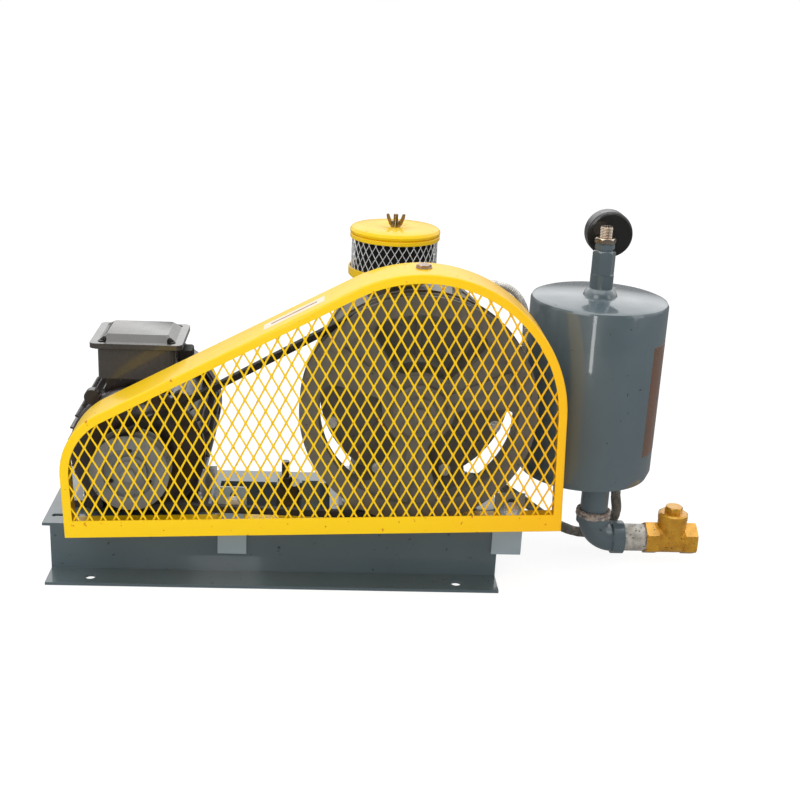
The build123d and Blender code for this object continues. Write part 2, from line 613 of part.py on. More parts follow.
def make_blower_cylinder():
    """Casing with its eccentric bore, feet, inlet boss, bracket lug and ports."""
    y0, y1 = CASE_FRONT + COVER, CASE_BACK - COVER
    case = cyl_y(BLOWER_X, BLOWER_Z, BLOWER_R - 2, y0, y1)
    for y in (y0, y1 - 14):
        case += cyl_y(BLOWER_X, BLOWER_Z, BLOWER_R, y, y + 14)
    foot = box(BLOWER_X - 94, BLOWER_X + 94, y0 + 4, y1 - 4, DECK_Z, DECK_Z + 12)
    pedestal = extrude(Plane.XZ.offset(-(y0 + 10)) * Polygon(
        (BLOWER_X - 82, DECK_Z + 12), (BLOWER_X + 82, DECK_Z + 12), (BLOWER_X + 66, BLOWER_Z - 70),
        (BLOWER_X - 66, BLOWER_Z - 70), align=None), -(y1 - y0 - 20))
    arch = box(BLOWER_X - 40, BLOWER_X + 40, y0, y1, DECK_Z, DECK_Z + 30)
    arch += cyl_y(BLOWER_X, DECK_Z + 10, 40, y0, y1) & box(0, 400, y0, y1, DECK_Z, DECK_Z + 60)
    case += (foot + pedestal) - arch
    case += cyl_z(FILTER_X, FILTER_Y, 34, BLOWER_Z + 90, BLOWER_TOP + 3)
    case += box(BLOWER_X + BLOWER_R - 20, BRACKET_X + 10, 66, 80, 196, 244)
    for z in BRACKET_BOLTS_Z:
        case -= cyl_y(BRACKET_X, z, 4.0, 66, 80)
    case -= cyl_y(BLOWER_X, BLOWER_Z - BORE_DROP, BORE_R, y0, y1)
    case -= cyl_z(FILTER_X, FILTER_Y, INLET_R, BLOWER_Z, BLOWER_TOP + 10)
    case -= cyl_x(PORT_Y, PORT_Z, 15.0, BLOWER_X + 40, BLOWER_X + 150)
    for x, y in BLOWER_BOLTS:
        case -= cyl_z(x, y, 5.0, DECK_Z, DECK_Z + 12)
        case -= cyl_z(x, y, 11.0, DECK_Z + 12, DECK_Z + 44)
    for angle in range(0, 360, 45):
        x, z = polar(BLOWER_X, BLOWER_Z, COVER_CIRCLE, angle + 22.5)
        case -= cyl_y(x, z, 4.0, y0, y0 + 22)
        case -= cyl_y(x, z, 4.0, y1 - 22, y1)
    return case


def blower_cover(y_in, y_out):
    """End cover with its bearing housing, stiffening ribs and bolt holes."""
    side = 1 if y_out > y_in else -1
    profile = [(BLOWER_BEARING_R, y_in), (BLOWER_R, y_in), (BLOWER_R, y_out - side * 2), (BLOWER_R - 2, y_out),
               (52, y_out), (46, y_out + side * 12), (BLOWER_BEARING_R, y_out + side * 12)]
    cover = turned_y(BLOWER_X, BLOWER_Z, profile)
    for angle in range(0, 360, 45):
        rib = Pos(78, 0, 0) * Box(60, 7, 7)
        cover += Pos(BLOWER_X, y_out + side * 2.5, BLOWER_Z) * Rot(0, angle, 0) * rib
        x, z = polar(BLOWER_X, BLOWER_Z, COVER_CIRCLE, angle + 22.5)
        cover -= cyl_y(x, z, 4.0, *sorted((y_in, y_out)))
    return cover


BLOWER_BEARING_R = 31.0


def make_cover_bolts():
    """Eight bolts round each end cover."""
    solids = []
    for angle in range(0, 360, 45):
        x, z = polar(BLOWER_X, BLOWER_Z, COVER_CIRCLE, angle + 22.5)
        solids.append(bolt_along_y(x, z, CASE_FRONT, 8.0, 30.0))
        solids.append(bolt_along_y(x, z, CASE_BACK, 8.0, 30.0, towards=1))
    return Compound(solids)


def make_blower_bearings():
    """Front and rear shaft bearings, each as one ring."""
    rings = []
    for y0 in (CASE_FRONT - 10, CASE_BACK - 8):
        ring = cyl_y(BLOWER_X, BLOWER_Z, BLOWER_BEARING_R, y0, y0 + 18)
        rings.append(ring - cyl_y(BLOWER_X, BLOWER_Z, BLOWER_SHAFT_R + RUN, y0, y0 + 18))
    return Compound(rings)


def make_blower_foot_bolts():
    """Bolts through the blower's feet and the deck, with nuts."""
    solids = []
    for x, y in BLOWER_BOLTS:
        solids += [bolt_down(x, y, DECK_Z + 12, 10.0, 28.0), nut_up(x, y, DECK_Z - PLATE, 10.0)]
    return Compound(solids)


def make_blower_shaft():
    """Shaft from the big pulley to the rear bearing."""
    shaft = cyl_y(BLOWER_X, BLOWER_Z, BLOWER_SHAFT_R, PULLEY_FRONT + 6, CASE_BACK + 8)
    return shaft + cyl_y(BLOWER_X, BLOWER_Z, 22, CASE_FRONT + COVER + 0.5, CASE_BACK - COVER - 0.5)


VANE = (6.0, 46.0)       # thickness and depth
VANE_ANGLES = (45, 135, 225, 315)


def vane_slots(inset):
    """Vane shapes in the rotor, thinner by an inset on each face."""
    y0, y1 = CASE_FRONT + COVER + 0.5, CASE_BACK - COVER - 0.5
    slots = []
    for angle in VANE_ANGLES:
        thick, depth = VANE
        vane = Pos(ROTOR_R - 1 - depth / 2, (y0 + y1) / 2, 0) * Box(depth, y1 - y0, thick - 2 * inset)
        slots.append(Pos(BLOWER_X, 0, BLOWER_Z) * Rot(0, -angle, 0) * vane)
    return slots


def make_blower_rotor():
    """Rotor with four radial slots, keyed on its shaft."""
    y0, y1 = CASE_FRONT + COVER + 0.5, CASE_BACK - COVER - 0.5
    rotor = cyl_y(BLOWER_X, BLOWER_Z, ROTOR_R, y0, y1) - cyl_y(BLOWER_X, BLOWER_Z, 22, y0, y1)
    for angle, slot in zip(VANE_ANGLES, vane_slots(0)):
        mouth = Pos(ROTOR_R, (y0 + y1) / 2, 0) * Box(6, y1 - y0, VANE[0])
        rotor = rotor - slot - Pos(BLOWER_X, 0, BLOWER_Z) * Rot(0, -angle, 0) * mouth
    return rotor


def make_vanes():
    """Four carbon vanes, drawn here at rest in the bottom of their slots."""
    return Compound(vane_slots(0))


# ---------------------------------------------------------------- air filter
FILTER_FOOT = BLOWER_TOP + 3
RING_TOP = FILTER_FOOT + 19
CAP_Z = RING_TOP + 44
SCREEN_BARS = 35


def make_filter_base():
    """Turned tray with a neck that seats on the inlet boss."""
    profile = [(INLET_R, FILTER_FOOT), (34, FILTER_FOOT), (34, FILTER_FOOT + 5), (57, FILTER_FOOT + 5),
               (60.5, FILTER_FOOT + 8), (60.5, RING_TOP), (58.5, RING_TOP), (58.5, RING_TOP - 6),
               (30, RING_TOP - 6), (INLET_R, FILTER_FOOT + 8)]
    tray = turned_z(FILTER_X, FILTER_Y, profile)
    bridge = box(FILTER_X - 33, FILTER_X + 33, FILTER_Y - 7, FILTER_Y + 7, RING_TOP - 6, RING_TOP - 2)
    return tray + bridge - cyl_z(FILTER_X, FILTER_Y, 4.0, RING_TOP - 6, RING_TOP - 2)


def make_filter_element():
    """Foam ring between tray and cap."""
    ring = cyl_z(FILTER_X, FILTER_Y, 52, RING_TOP - 6, CAP_Z)
    return ring - cyl_z(FILTER_X, FILTER_Y, 34, RING_TOP - 6, CAP_Z)


def make_filter_screen():
    """Diamond screen: straight bars that cross round the element, between two hoops."""
    hoops = []
    for z0, z1 in ((RING_TOP - 6, RING_TOP - 2), (CAP_Z - 3, CAP_Z)):
        hoop = cyl_z(FILTER_X, FILTER_Y, 58.0, z0, z1) - cyl_z(FILTER_X, FILTER_Y, 54.0, z0, z1)
        hoops.append(hoop)
    z0, z1 = RING_TOP - 2, CAP_Z - 3
    step = 360 / SCREEN_BARS
    lean = 1.5 * step
    solids = list(hoops)
    rise = z1 - z0
    chord = 2 * FILTER_R * sin(radians(lean))
    tilt = degrees(atan2(chord, rise))
    length = hypot(rise, chord)
    for side, radius in ((1, 56.9), (-1, 55.9)):
        reach = radius * cos(radians(lean))
        for index in range(SCREEN_BARS):
            bar = Rot(side * tilt, 0, 0) * Box(0.9, 1.0, length * 1.1)
            bar = Pos(FILTER_X, FILTER_Y, (z0 + z1) / 2) * Rot(0, 0, index * step) * Pos(reach, 0, 0) * bar
            solids.append((bar & box(0, 400, -200, 200, z0, z1)).solid())
    return Compound(solids)


def make_filter_cap():
    """Domed cap with a rolled edge, dished round its stud."""
    profile = [(4.0, CAP_Z), (57, CAP_Z), (59.5, CAP_Z + 2), (60, CAP_Z + 5), (57.5, CAP_Z + 8.5),
               (50, CAP_Z + 10), (20, CAP_Z + 11), (12, CAP_Z + 9), (4.0, CAP_Z + 9)]
    return turned_z(FILTER_X, FILTER_Y, profile)


def make_filter_stud():
    """Threaded stud through the cap."""
    return cyl_z(FILTER_X, FILTER_Y, 3.0, RING_TOP - 12, CAP_Z + 26) + cyl_z(
        FILTER_X, FILTER_Y, 4.0, RING_TOP - 6, CAP_Z + 9)


def make_wing_nut():
    """Wing nut on the stud."""
    z0 = CAP_Z + 9.05
    nut = turned_z(FILTER_X, FILTER_Y, [(3.0 + RUN, z0), (6.5, z0), (5.5, z0 + 8), (3.0 + RUN, z0 + 8)])
    for side in (-1, 1):
        outline = Polygon((side * 4.5, 0.5), (side * 5.2, 7), (side * 9, 17), (side * 12.5, 17), (side * 12, 12),
                          (side * 8, 2), align=None)
        wing = extrude(fillet(outline.vertices(), 0.8), 1.3, both=True)
        nut += Pos(FILTER_X, FILTER_Y, z0) * Rot(90, 0, 0) * wing
    return nut


# ---------------------------------------------------------------- tank and its fittings
WALL = 2.5
HOSE_TAP = (478.0, 22.0)
GAUGE_X = 433.0
GAUGE_Y = 34.0
GAUGE_Z = 451.0
GAUGE_R = 30.5


def make_tank():
    """Welded tank: shell with dished edges, outlet stub, relief boss, gauge boss and drain boss."""
    wall = WALL
    outer = [(0, TANK_BOTTOM), (TANK_R - 14, TANK_BOTTOM), (TANK_R - 4, TANK_BOTTOM + 4), (TANK_R, TANK_BOTTOM + 14),
             (TANK_R, TANK_TOP - 6), (TANK_R - 2, TANK_TOP - 2), (TANK_R - 7, TANK_TOP), (0, TANK_TOP + 3)]
    inner = [(0, TANK_BOTTOM + wall), (TANK_R - 15, TANK_BOTTOM + wall), (TANK_R - 6, TANK_BOTTOM + 6),
             (TANK_R - wall, TANK_BOTTOM + 15), (TANK_R - wall, TANK_TOP - 7), (TANK_R - 8, TANK_TOP - wall),
             (0, TANK_TOP + 3 - wall)]
    shell = turned_z(TANK_X, 0, outer)
    shell += cyl_z(OUTLET_X, OUTLET_Y, PIPE_R, ELBOW_TOP, TANK_BOTTOM + 5)
    shell += cyl_z(OUTLET_X, OUTLET_Y, 16.6, ELBOW_TOP - 14, ELBOW_TOP + 2)
    shell += turned_z(TANK_X, 0, [(0, TANK_TOP - 2), (24, TANK_TOP), (21, TANK_TOP + 7), (15.5, TANK_TOP + 12),
                                  (15.5, TANK_TOP + 31), (0, TANK_TOP + 31)])
    shell += cyl_z(GAUGE_X, GAUGE_Y, 9.0, TANK_TOP - 2, TANK_TOP + 10)
    shell += cyl_z(*HOSE_TAP, 11.0, TANK_BOTTOM - 6, TANK_BOTTOM + 2)
    shell -= turned_z(TANK_X, 0, inner)
    shell -= cyl_z(OUTLET_X, OUTLET_Y, 12.5, 0, TANK_BOTTOM + 10)
    shell -= cyl_z(GAUGE_X, GAUGE_Y, 5.0, TANK_TOP + 2, TANK_TOP + 10)
    return shell - cyl_x(PORT_Y, PORT_Z, 15.0, TANK_X - 120, TANK_X - 60)


def make_discharge_pipe():
    """Short pipe from the blower's outlet port to the tank, cut to both round walls."""
    pipe = cyl_x(PORT_Y, PORT_Z, 20.0, 280, 360) - cyl_x(PORT_Y, PORT_Z, 15.0, 280, 360)
    return pipe - cyl_y(BLOWER_X, BLOWER_Z, BLOWER_R - 2, -50, 90) - cyl_z(TANK_X, 0, TANK_R, 200, 350)


def make_tank_bracket():
    """Flat bar from the blower's lug, welded to the tank."""
    bar = box(BRACKET_X - 9, 366, 61, 66, 200, 240) - cyl_z(TANK_X, 0, TANK_R, 190, 250)
    for z in BRACKET_BOLTS_Z:
        bar -= cyl_y(BRACKET_X, z, 4.0, 61, 66)
    return bar


def make_bracket_bolts():
    """Two bolts that hold the tank bracket to the blower's lug, with nuts."""
    solids = []
    for z in BRACKET_BOLTS_Z:
        solids.append(bolt_along_y(BRACKET_X, z, 61, 8.0, 26.0))
        nut = Pos(BRACKET_X, 80, z) * Rot(-90, 0, 0) * hexagon(12.8, 6.4)
        solids.append(nut - cyl_y(BRACKET_X, z, 4.0, 80, 90))
    return Compound(solids)


ELBOW_TOP = OUTLET_Z + 40.0
ELBOW_END = OUTLET_X + 44.0
BEND_R = 30.0
BEAD_R = 23.0
TUBE_R = 20.0


def make_elbow():
    """Malleable elbow: quarter bend with a beaded socket at each end."""
    corner = (OUTLET_X + BEND_R, OUTLET_Z + BEND_R)
    ring = Rot(90, 0, 0) * Torus(BEND_R, TUBE_R)
    hollow = Rot(90, 0, 0) * Torus(BEND_R, 13.0)
    quarter = box(corner[0] - 60, corner[0], OUTLET_Y - 30, OUTLET_Y + 30, corner[1] - 60, corner[1])
    place = Pos(corner[0], OUTLET_Y, corner[1])
    bend = (place * ring) & quarter
    bend += cyl_z(OUTLET_X, OUTLET_Y, TUBE_R, corner[1], ELBOW_TOP)
    bend += cyl_z(OUTLET_X, OUTLET_Y, BEAD_R, ELBOW_TOP - 16, ELBOW_TOP)
    bend += cyl_x(OUTLET_Y, OUTLET_Z, TUBE_R, corner[0], ELBOW_END)
    bend += cyl_x(OUTLET_Y, OUTLET_Z, BEAD_R, ELBOW_END - 16, ELBOW_END)
    bend -= (place * hollow) & quarter
    bend -= cyl_z(OUTLET_X, OUTLET_Y, 13.0, corner[1], ELBOW_TOP)
    bend -= cyl_x(OUTLET_Y, OUTLET_Z, 13.0, corner[0], ELBOW_END)
    bend -= cyl_z(OUTLET_X, OUTLET_Y, 16.6, ELBOW_TOP - 14, ELBOW_TOP)
    return bend - cyl_x(OUTLET_Y, OUTLET_Z, 16.6, ELBOW_END - 14, ELBOW_END)


VALVE_START = ELBOW_END + 31.0
VALVE_END = VALVE_START + 72.0
THREAD_DEPTH = 14.0


def make_nipple():
    """Galvanised sleeve nipple between elbow and check valve."""
    profile = [(ELBOW_END - THREAD_DEPTH, 12.5), (ELBOW_END - THREAD_DEPTH, 16.6), (ELBOW_END, 16.6),
               (ELBOW_END, PIPE_R), (VALVE_START, PIPE_R), (VALVE_START, 16.6),
               (VALVE_START + THREAD_DEPTH, 16.6), (VALVE_START + THREAD_DEPTH, 12.5)]
    return turned_x(OUTLET_Y, OUTLET_Z, profile)


VALVE_HEX = 41.0
SEAT_X = VALVE_START + 24.0
NECK_X = VALVE_START + 38.0
NECK_TOP = OUTLET_Z + 30.0
HINGE_X = SEAT_X + 2.7
HINGE_Z = OUTLET_Z + 19.5
PIN_R = 1.2
VALVE_BORE_R = 15.3


def make_valve_body():
    """Brass swing check valve body with hexagon ends, a seat, a neck and the flap's pin."""
    body = cyl_x(OUTLET_Y, OUTLET_Z, 20.0, VALVE_START, VALVE_END)
    for x0 in (VALVE_START, VALVE_END - 18):
        prism = extrude(RegularPolygon(VALVE_HEX / 2, 6, major_radius=False), 18)
        point = turned_x(OUTLET_Y, OUTLET_Z, [(x0, 0), (x0, 22.2), (x0 + 1.8, 23.7), (x0 + 16.2, 23.7),
                                              (x0 + 18, 22.2), (x0 + 18, 0)])
        body += (Pos(x0, OUTLET_Y, OUTLET_Z) * Rot(0, 90, 0) * prism) & point
    body += cyl_z(NECK_X, OUTLET_Y, 20.0, OUTLET_Z, NECK_TOP)
    body -= cyl_x(OUTLET_Y, OUTLET_Z, 16.6, VALVE_START, VALVE_START + THREAD_DEPTH)
    body -= cyl_x(OUTLET_Y, OUTLET_Z, 12.5, VALVE_START, SEAT_X)
    body -= cyl_x(OUTLET_Y, OUTLET_Z, 17.0, SEAT_X, VALVE_END - 18)
    body -= cyl_x(OUTLET_Y, OUTLET_Z, VALVE_BORE_R, VALVE_END - 18, VALVE_END)
    chamber = cyl_z(NECK_X + 1, OUTLET_Y, 16.0, OUTLET_Z, NECK_TOP)
    body -= chamber & box(SEAT_X, VALVE_END, -100, 100, 0, 200)
    return body + cyl_y(HINGE_X, HINGE_Z, PIN_R, OUTLET_Y - 17.5, OUTLET_Y + 17.5)


def make_valve_bonnet():
    """Screwed bonnet with its hexagon cap."""
    top = NECK_TOP + 10
    bonnet = turned_z(NECK_X, OUTLET_Y, [(0, NECK_TOP), (20.5, NECK_TOP), (20.5, top - 2), (18, top), (0, top)])
    return bonnet + Pos(NECK_X, OUTLET_Y, top) * hexagon(22, 9)


def make_valve_flap():
    """Flap disc with its arm, bored to swing on the pin."""
    flap = cyl_x(OUTLET_Y, OUTLET_Z, 14.3, SEAT_X + 0.2, SEAT_X + 2.7)
    arm = box(SEAT_X + 0.6, HINGE_X + 1, OUTLET_Y - 4, OUTLET_Y + 4, OUTLET_Z + 8, HINGE_Z)
    flap += arm + cyl_y(HINGE_X, HINGE_Z, 2.4, OUTLET_Y - 4, OUTLET_Y + 4)
    flap += cyl_x(OUTLET_Y, OUTLET_Z, 6.0, SEAT_X + 2.7, SEAT_X + 9.7)
    return flap - cyl_y(HINGE_X, HINGE_Z, PIN_R + RUN, OUTLET_Y - 5, OUTLET_Y + 5)


RELIEF_Z = TANK_TOP + 31.0


def make_relief_body():
    """Relief valve body: long hexagon, neck and upper hexagon."""
    body = Pos(TANK_X, 0, RELIEF_Z) * hexagon(27, 32)
    body += cyl_z(TANK_X, 0, 11.0, RELIEF_Z + 31, RELIEF_Z + 34)
    body += Pos(TANK_X, 0, RELIEF_Z + 34) * hexagon(23, 8)
    return body - cyl_z(TANK_X, 0, 6.0 + RUN, RELIEF_Z + 20, RELIEF_Z + 42)


def make_relief_adjuster():
    """Brass adjusting screw with its lock collar and threaded stub."""
    z0 = RELIEF_Z + 42
    screw = cyl_z(TANK_X, 0, 6.0, RELIEF_Z + 22, z0 + 0.05)
    screw += Pos(TANK_X, 0, z0 + 0.05) * hexagon(25, 7)
    stub = [(0, z0 + 7), (8.0, z0 + 7)]
    for turn in range(7):
        z = z0 + 8 + turn * 2
        stub += [(8.5, z), (7.7, z + 1)]
    stub += [(7.7, z0 + 22), (4.5, z0 + 22), (4.5, z0 + 12), (0, z0 + 12)]
    return screw + turned_z(TANK_X, 0, stub)


def make_gauge_case():
    """Gauge case open to the back of the set, with its stem and hexagon."""
    y0, y1 = GAUGE_Y - 14, GAUGE_Y + 14
    profile = [(0, y0), (GAUGE_R - 3, y0), (GAUGE_R - 1, y0 + 1.5), (GAUGE_R - 1, y0 + 5), (GAUGE_R, y0 + 6),
               (GAUGE_R, y1), (GAUGE_R - 2, y1), (GAUGE_R - 2, y0 + 4), (0, y0 + 4)]
    case = turned_y(GAUGE_X, GAUGE_Z, profile)
    stem_top = GAUGE_Z - GAUGE_R + 1
    case += cyl_z(GAUGE_X, GAUGE_Y, 5.0, TANK_TOP + 10, stem_top)
    case += cyl_z(GAUGE_X, GAUGE_Y, 5.0, TANK_TOP + 2, TANK_TOP + 10)
    return case + Pos(GAUGE_X, GAUGE_Y, TANK_TOP + 10) * hexagon(14, 12)


def make_gauge_dial():
    """Dial plate with its centre post."""
    y0 = GAUGE_Y + 2
    dial = cyl_y(GAUGE_X, GAUGE_Z, GAUGE_R - 2, y0, y0 + 1.5)
    dial += cyl_y(GAUGE_X, GAUGE_Z, GAUGE_R - 2, GAUGE_Y - 10, y0) - cyl_y(
        GAUGE_X, GAUGE_Z, GAUGE_R - 4, GAUGE_Y - 10, y0)
    return dial + cyl_y(GAUGE_X, GAUGE_Z, 1.5, y0 + 1.5, y0 + 5)


def make_gauge_glass():
    """Flat glass at the gauge's mouth."""
    return cyl_y(GAUGE_X, GAUGE_Z, GAUGE_R - 2, GAUGE_Y + 11, GAUGE_Y + 13)


def make_gauge_pointer():
    """Pointer on the dial's post, at its zero stop."""
    y0 = GAUGE_Y + 4.5
    hub = cyl_y(0, 0, 4, 0, 1.2) - cyl_y(0, 0, 1.5 + RUN, 0, 1.2)
    blade = extrude(Plane.XZ * Polygon((-1.2, 3.5), (1.2, 3.5), (0.4, 22), (-0.4, 22), align=None), -1.2)
    tail = extrude(Plane.XZ * Polygon((-1.6, -3.5), (-1.6, -9), (1.6, -9), (1.6, -3.5), align=None), -1.2)
    return Pos(GAUGE_X, y0, GAUGE_Z) * Rot(0, POINTER_ZERO, 0) * (hub + blade + tail)


POINTER_ZERO = 135.0


# ---------------------------------------------------------------- oil hoses
UPPER_R = 5.0
LOWER_R = 7.0
UPPER_TAP = (228.0, -15.0)
UPPER_ROUTE = [(250, -15, 389), (281, -15, 389), (306, -15, 379), (321, -16, 356), (324, -18, 325), (323, -18, 280),
               (321, -18, 235), (318, -17, 192), (317, -16, 156), (309, -15, 128), (292, -15, 112), (268, -15, 112)]
LOWER_ROUTE = [(478, 22, 103), (478, 22, 78), (485, 22, 46), (465, 19, 21), (430, 16, 17), (394, 13, 32),
               (362, 11, 55), (333, 10, 77), (305, 10, 92), (274, 10, 92)]


def bend_radius(before, corner, after):
    """Largest arc that two runs of a route allow at their corner."""
    one = Vector(*corner) - Vector(*before)
    two = Vector(*after) - Vector(*corner)
    turn = radians(one.get_angle(two))
    return 0.45 * min(one.length, two.length) / tan(turn / 2)


def make_hose(route, radius):
    """Tube along straight runs joined by tangent arcs."""
    bends = [bend_radius(*route[i - 1:i + 2]) for i in range(1, len(route) - 1)]
    print("bend radii", [round(bend) for bend in bends])
    path = FilletPolyline(*route, radius=bends)
    start = Vector(*route[1]) - Vector(*route[0])
    tube = sweep(Plane(origin=route[0], z_dir=start) * Circle(radius), path)
    print("volume against section times length", round(tube.volume / (pi * radius ** 2 * path.length), 4))
    return tube


def make_hose_fittings():
    """Fittings of both hoses: two on the blower's foot, one on its top, one under the tank."""
    x, y = UPPER_TAP
    start = UPPER_ROUTE[0]
    elbow = Pos(start[0] - 14, y, start[2]) * Rot(0, 90, 0) * hexagon(14, 14)
    elbow += box(x - 7, start[0] - 13, y - 7, y + 7, start[2] - 7, start[2] + 7)
    surface = BLOWER_Z + (BLOWER_R - 2) * sin(radians(60))
    elbow += cyl_z(x, y, 6.0, surface, start[2] - 6)
    elbow -= cyl_y(BLOWER_X, BLOWER_Z, BLOWER_R - 2, -50, 90)
    fittings = [elbow]
    for route, radius in ((UPPER_ROUTE, UPPER_R), (LOWER_ROUTE, LOWER_R)):
        end = route[-1]
        body = Pos(end[0] - 12, end[1], end[2]) * Rot(0, 90, 0) * hexagon(2.7 * radius, 12)
        body += cyl_x(end[1], end[2], radius, 225, end[0] - 11)
        fittings.append(body)
    top = LOWER_ROUTE[0]
    nut = Pos(top[0], top[1], top[2]) * hexagon(19, TANK_BOTTOM - 6 - top[2])
    fittings.append(nut)
    return fittings


def make_fittings(foot):
    """The hose fittings, with the two on the blower's foot cut to its face."""
    upper, end_upper, end_lower, tap = make_hose_fittings()
    return Compound([upper, (end_upper - foot).solids().sort_by(Axis.X)[-1],
                     (end_lower - foot).solids().sort_by(Axis.X)[-1], tap])


def make_tension_clamp():
    """Dark clamp block with its stud and nut, beside the welded lug on the deck."""
    x, y = 14.0, -74.0
    block = box(x - 15, x + 15, y - 14, y + 14, DECK_Z, DECK_Z + 56)
    block = chamfer(block.edges().filter_by(Axis.Z), 5)
    block -= cyl_z(x - 4, y, 5.0, DECK_Z + 30, DECK_Z + 56)
    stud = cyl_z(x - 4, y, 5.0, DECK_Z + 30, DECK_Z + 86)
    nut = Pos(x - 4, y, DECK_Z + 56) * hexagon(16, 9) - cyl_z(x - 4, y, 5.0, DECK_Z + 56, DECK_Z + 66)
    screw = cyl_x(y - 6, DECK_Z + 38, 4.0, x + 15, 32)
    return Compound([block, stud, nut, screw])


# ---------------------------------------------------------------- write every piece
def main():
    """Build each node and write its file."""
    os.makedirs("parts", exist_ok=True)
    cylinder = make_blower_cylinder()
    nodes = {
        "base_frame": make_base(),
        "guard_frame": make_guard_frame(),
        "guard_grille": make_guard_grille(),
        "guard_brackets": make_guard_brackets(),
        "guard_bolts": make_guard_bolts(),
        "tension_clamp": make_tension_clamp(),
        "motor_frame": make_motor_frame(),
        "motor_front_shield": make_motor_front_shield(),
        "motor_rear_shield": make_motor_rear_shield(),
        "motor_bearings": make_motor_bearings(),
        "motor_stator": make_stator(),
        "motor_fan_cover": make_fan_cover(),
        "terminal_box": make_terminal_box(),
        "terminal_gasket": make_terminal_gasket(),
        "terminal_lid": make_terminal_lid(),
        "terminal_lid_screws": make_lid_screws(),
        "cable_gland": make_cable_gland(),
        "motor_foot_bolts": make_motor_foot_bolts(),
        "motor_shaft": make_motor_shaft(),
        "motor_rotor": make_motor_rotor(),
        "motor_cooling_fan": make_cooling_fan(),
        "motor_pulley": make_motor_pulley(),
        "motor_pulley_screw": end_screw(MOTOR_X, MOTOR_Z, SHAFT_R, PULLEY_FRONT + 2, PULLEY_FRONT + 6),
        "drive_belt": make_belt(),
        "big_pulley": make_big_pulley(),
        "big_pulley_screw": end_screw(BLOWER_X, BLOWER_Z, BLOWER_SHAFT_R, PULLEY_FRONT - 2, PULLEY_FRONT + 6),
        "blower_cylinder": cylinder,
        "blower_front_cover": blower_cover(CASE_FRONT + COVER, CASE_FRONT),
        "blower_rear_cover": blower_cover(CASE_BACK - COVER, CASE_BACK),
        "blower_cover_bolts": make_cover_bolts(),
        "blower_bearings": make_blower_bearings(),
        "blower_foot_bolts": make_blower_foot_bolts(),
        "blower_shaft": make_blower_shaft(),
        "blower_rotor": make_blower_rotor(),
        "rotor_vanes": make_vanes(),
        "filter_base": make_filter_base(),
        "filter_element": make_filter_element(),
        "filter_screen": make_filter_screen(),
        "filter_cap": make_filter_cap(),
        "filter_stud": make_filter_stud(),
        "filter_wing_nut": make_wing_nut(),
        "tank_shell": make_tank(),
        "tank_bracket": make_tank_bracket(),
        "tank_bracket_bolts": make_bracket_bolts(),
        "discharge_pipe": make_discharge_pipe(),
        "outlet_elbow": make_elbow(),
        "outlet_nipple": make_nipple(),
        "check_valve_body": make_valve_body(),
        "check_valve_bonnet": make_valve_bonnet(),
        "check_valve_flap": make_valve_flap(),
        "relief_valve_body": make_relief_body(),
        "relief_adjuster": make_relief_adjuster(),
        "gauge_case": make_gauge_case(),
        "gauge_dial": make_gauge_dial(),
        "gauge_glass": make_gauge_glass(),
        "gauge_pointer": make_gauge_pointer(),
        "oil_hose_upper": make_hose(UPPER_ROUTE, UPPER_R),
        "oil_hose_lower": make_hose(LOWER_ROUTE, LOWER_R),
        "hose_fittings": make_fittings(cylinder),
    }
    for name, shape in nodes.items():
        export_step(shape, f"parts/{name}.step")
        print(name, len(shape.solids()), round(shape.volume))


if __name__ == "__main__":
    main()
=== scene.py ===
"""Dressing of a belt-driven rotary vane blower set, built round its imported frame.

Lengths are in metres in the row frame: +X towards the tank, +Y away from the belt guard, +Z up.
"""
from __future__ import annotations

import json
import logging
import math
from collections.abc import Callable
from dataclasses import dataclass, field
from enum import Enum

import bmesh
import bpy
from mathutils import Matrix, Vector

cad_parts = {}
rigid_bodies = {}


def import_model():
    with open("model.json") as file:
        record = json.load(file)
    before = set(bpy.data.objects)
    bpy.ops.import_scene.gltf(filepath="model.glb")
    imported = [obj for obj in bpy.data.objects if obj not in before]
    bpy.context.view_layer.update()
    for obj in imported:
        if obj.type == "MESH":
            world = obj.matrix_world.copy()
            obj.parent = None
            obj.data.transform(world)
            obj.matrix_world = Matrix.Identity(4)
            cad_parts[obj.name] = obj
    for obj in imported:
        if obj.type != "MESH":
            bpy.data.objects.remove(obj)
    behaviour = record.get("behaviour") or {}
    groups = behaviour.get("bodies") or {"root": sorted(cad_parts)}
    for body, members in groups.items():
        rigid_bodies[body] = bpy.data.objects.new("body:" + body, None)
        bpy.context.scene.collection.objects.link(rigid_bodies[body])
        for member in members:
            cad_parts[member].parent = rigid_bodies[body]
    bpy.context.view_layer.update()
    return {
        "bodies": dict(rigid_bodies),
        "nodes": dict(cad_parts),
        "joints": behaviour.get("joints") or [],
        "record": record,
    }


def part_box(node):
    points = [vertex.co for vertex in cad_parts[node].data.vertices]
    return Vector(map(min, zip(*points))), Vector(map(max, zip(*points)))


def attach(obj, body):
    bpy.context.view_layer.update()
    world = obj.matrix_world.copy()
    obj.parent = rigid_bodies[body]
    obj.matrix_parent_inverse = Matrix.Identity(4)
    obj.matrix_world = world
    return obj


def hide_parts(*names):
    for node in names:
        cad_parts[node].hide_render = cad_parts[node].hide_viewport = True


LOG = logging.getLogger("blower_set")
MM = 0.001
STATIC = "set"
BLOCK_FACES = ((0, 1, 2, 3), (4, 5, 6, 7), (0, 1, 5, 4), (1, 2, 6, 5), (2, 3, 7, 6), (3, 0, 4, 7))
Colour = tuple[float, float, float]
Point = tuple[float, float, float]
Feeds = dict[str | int, object]


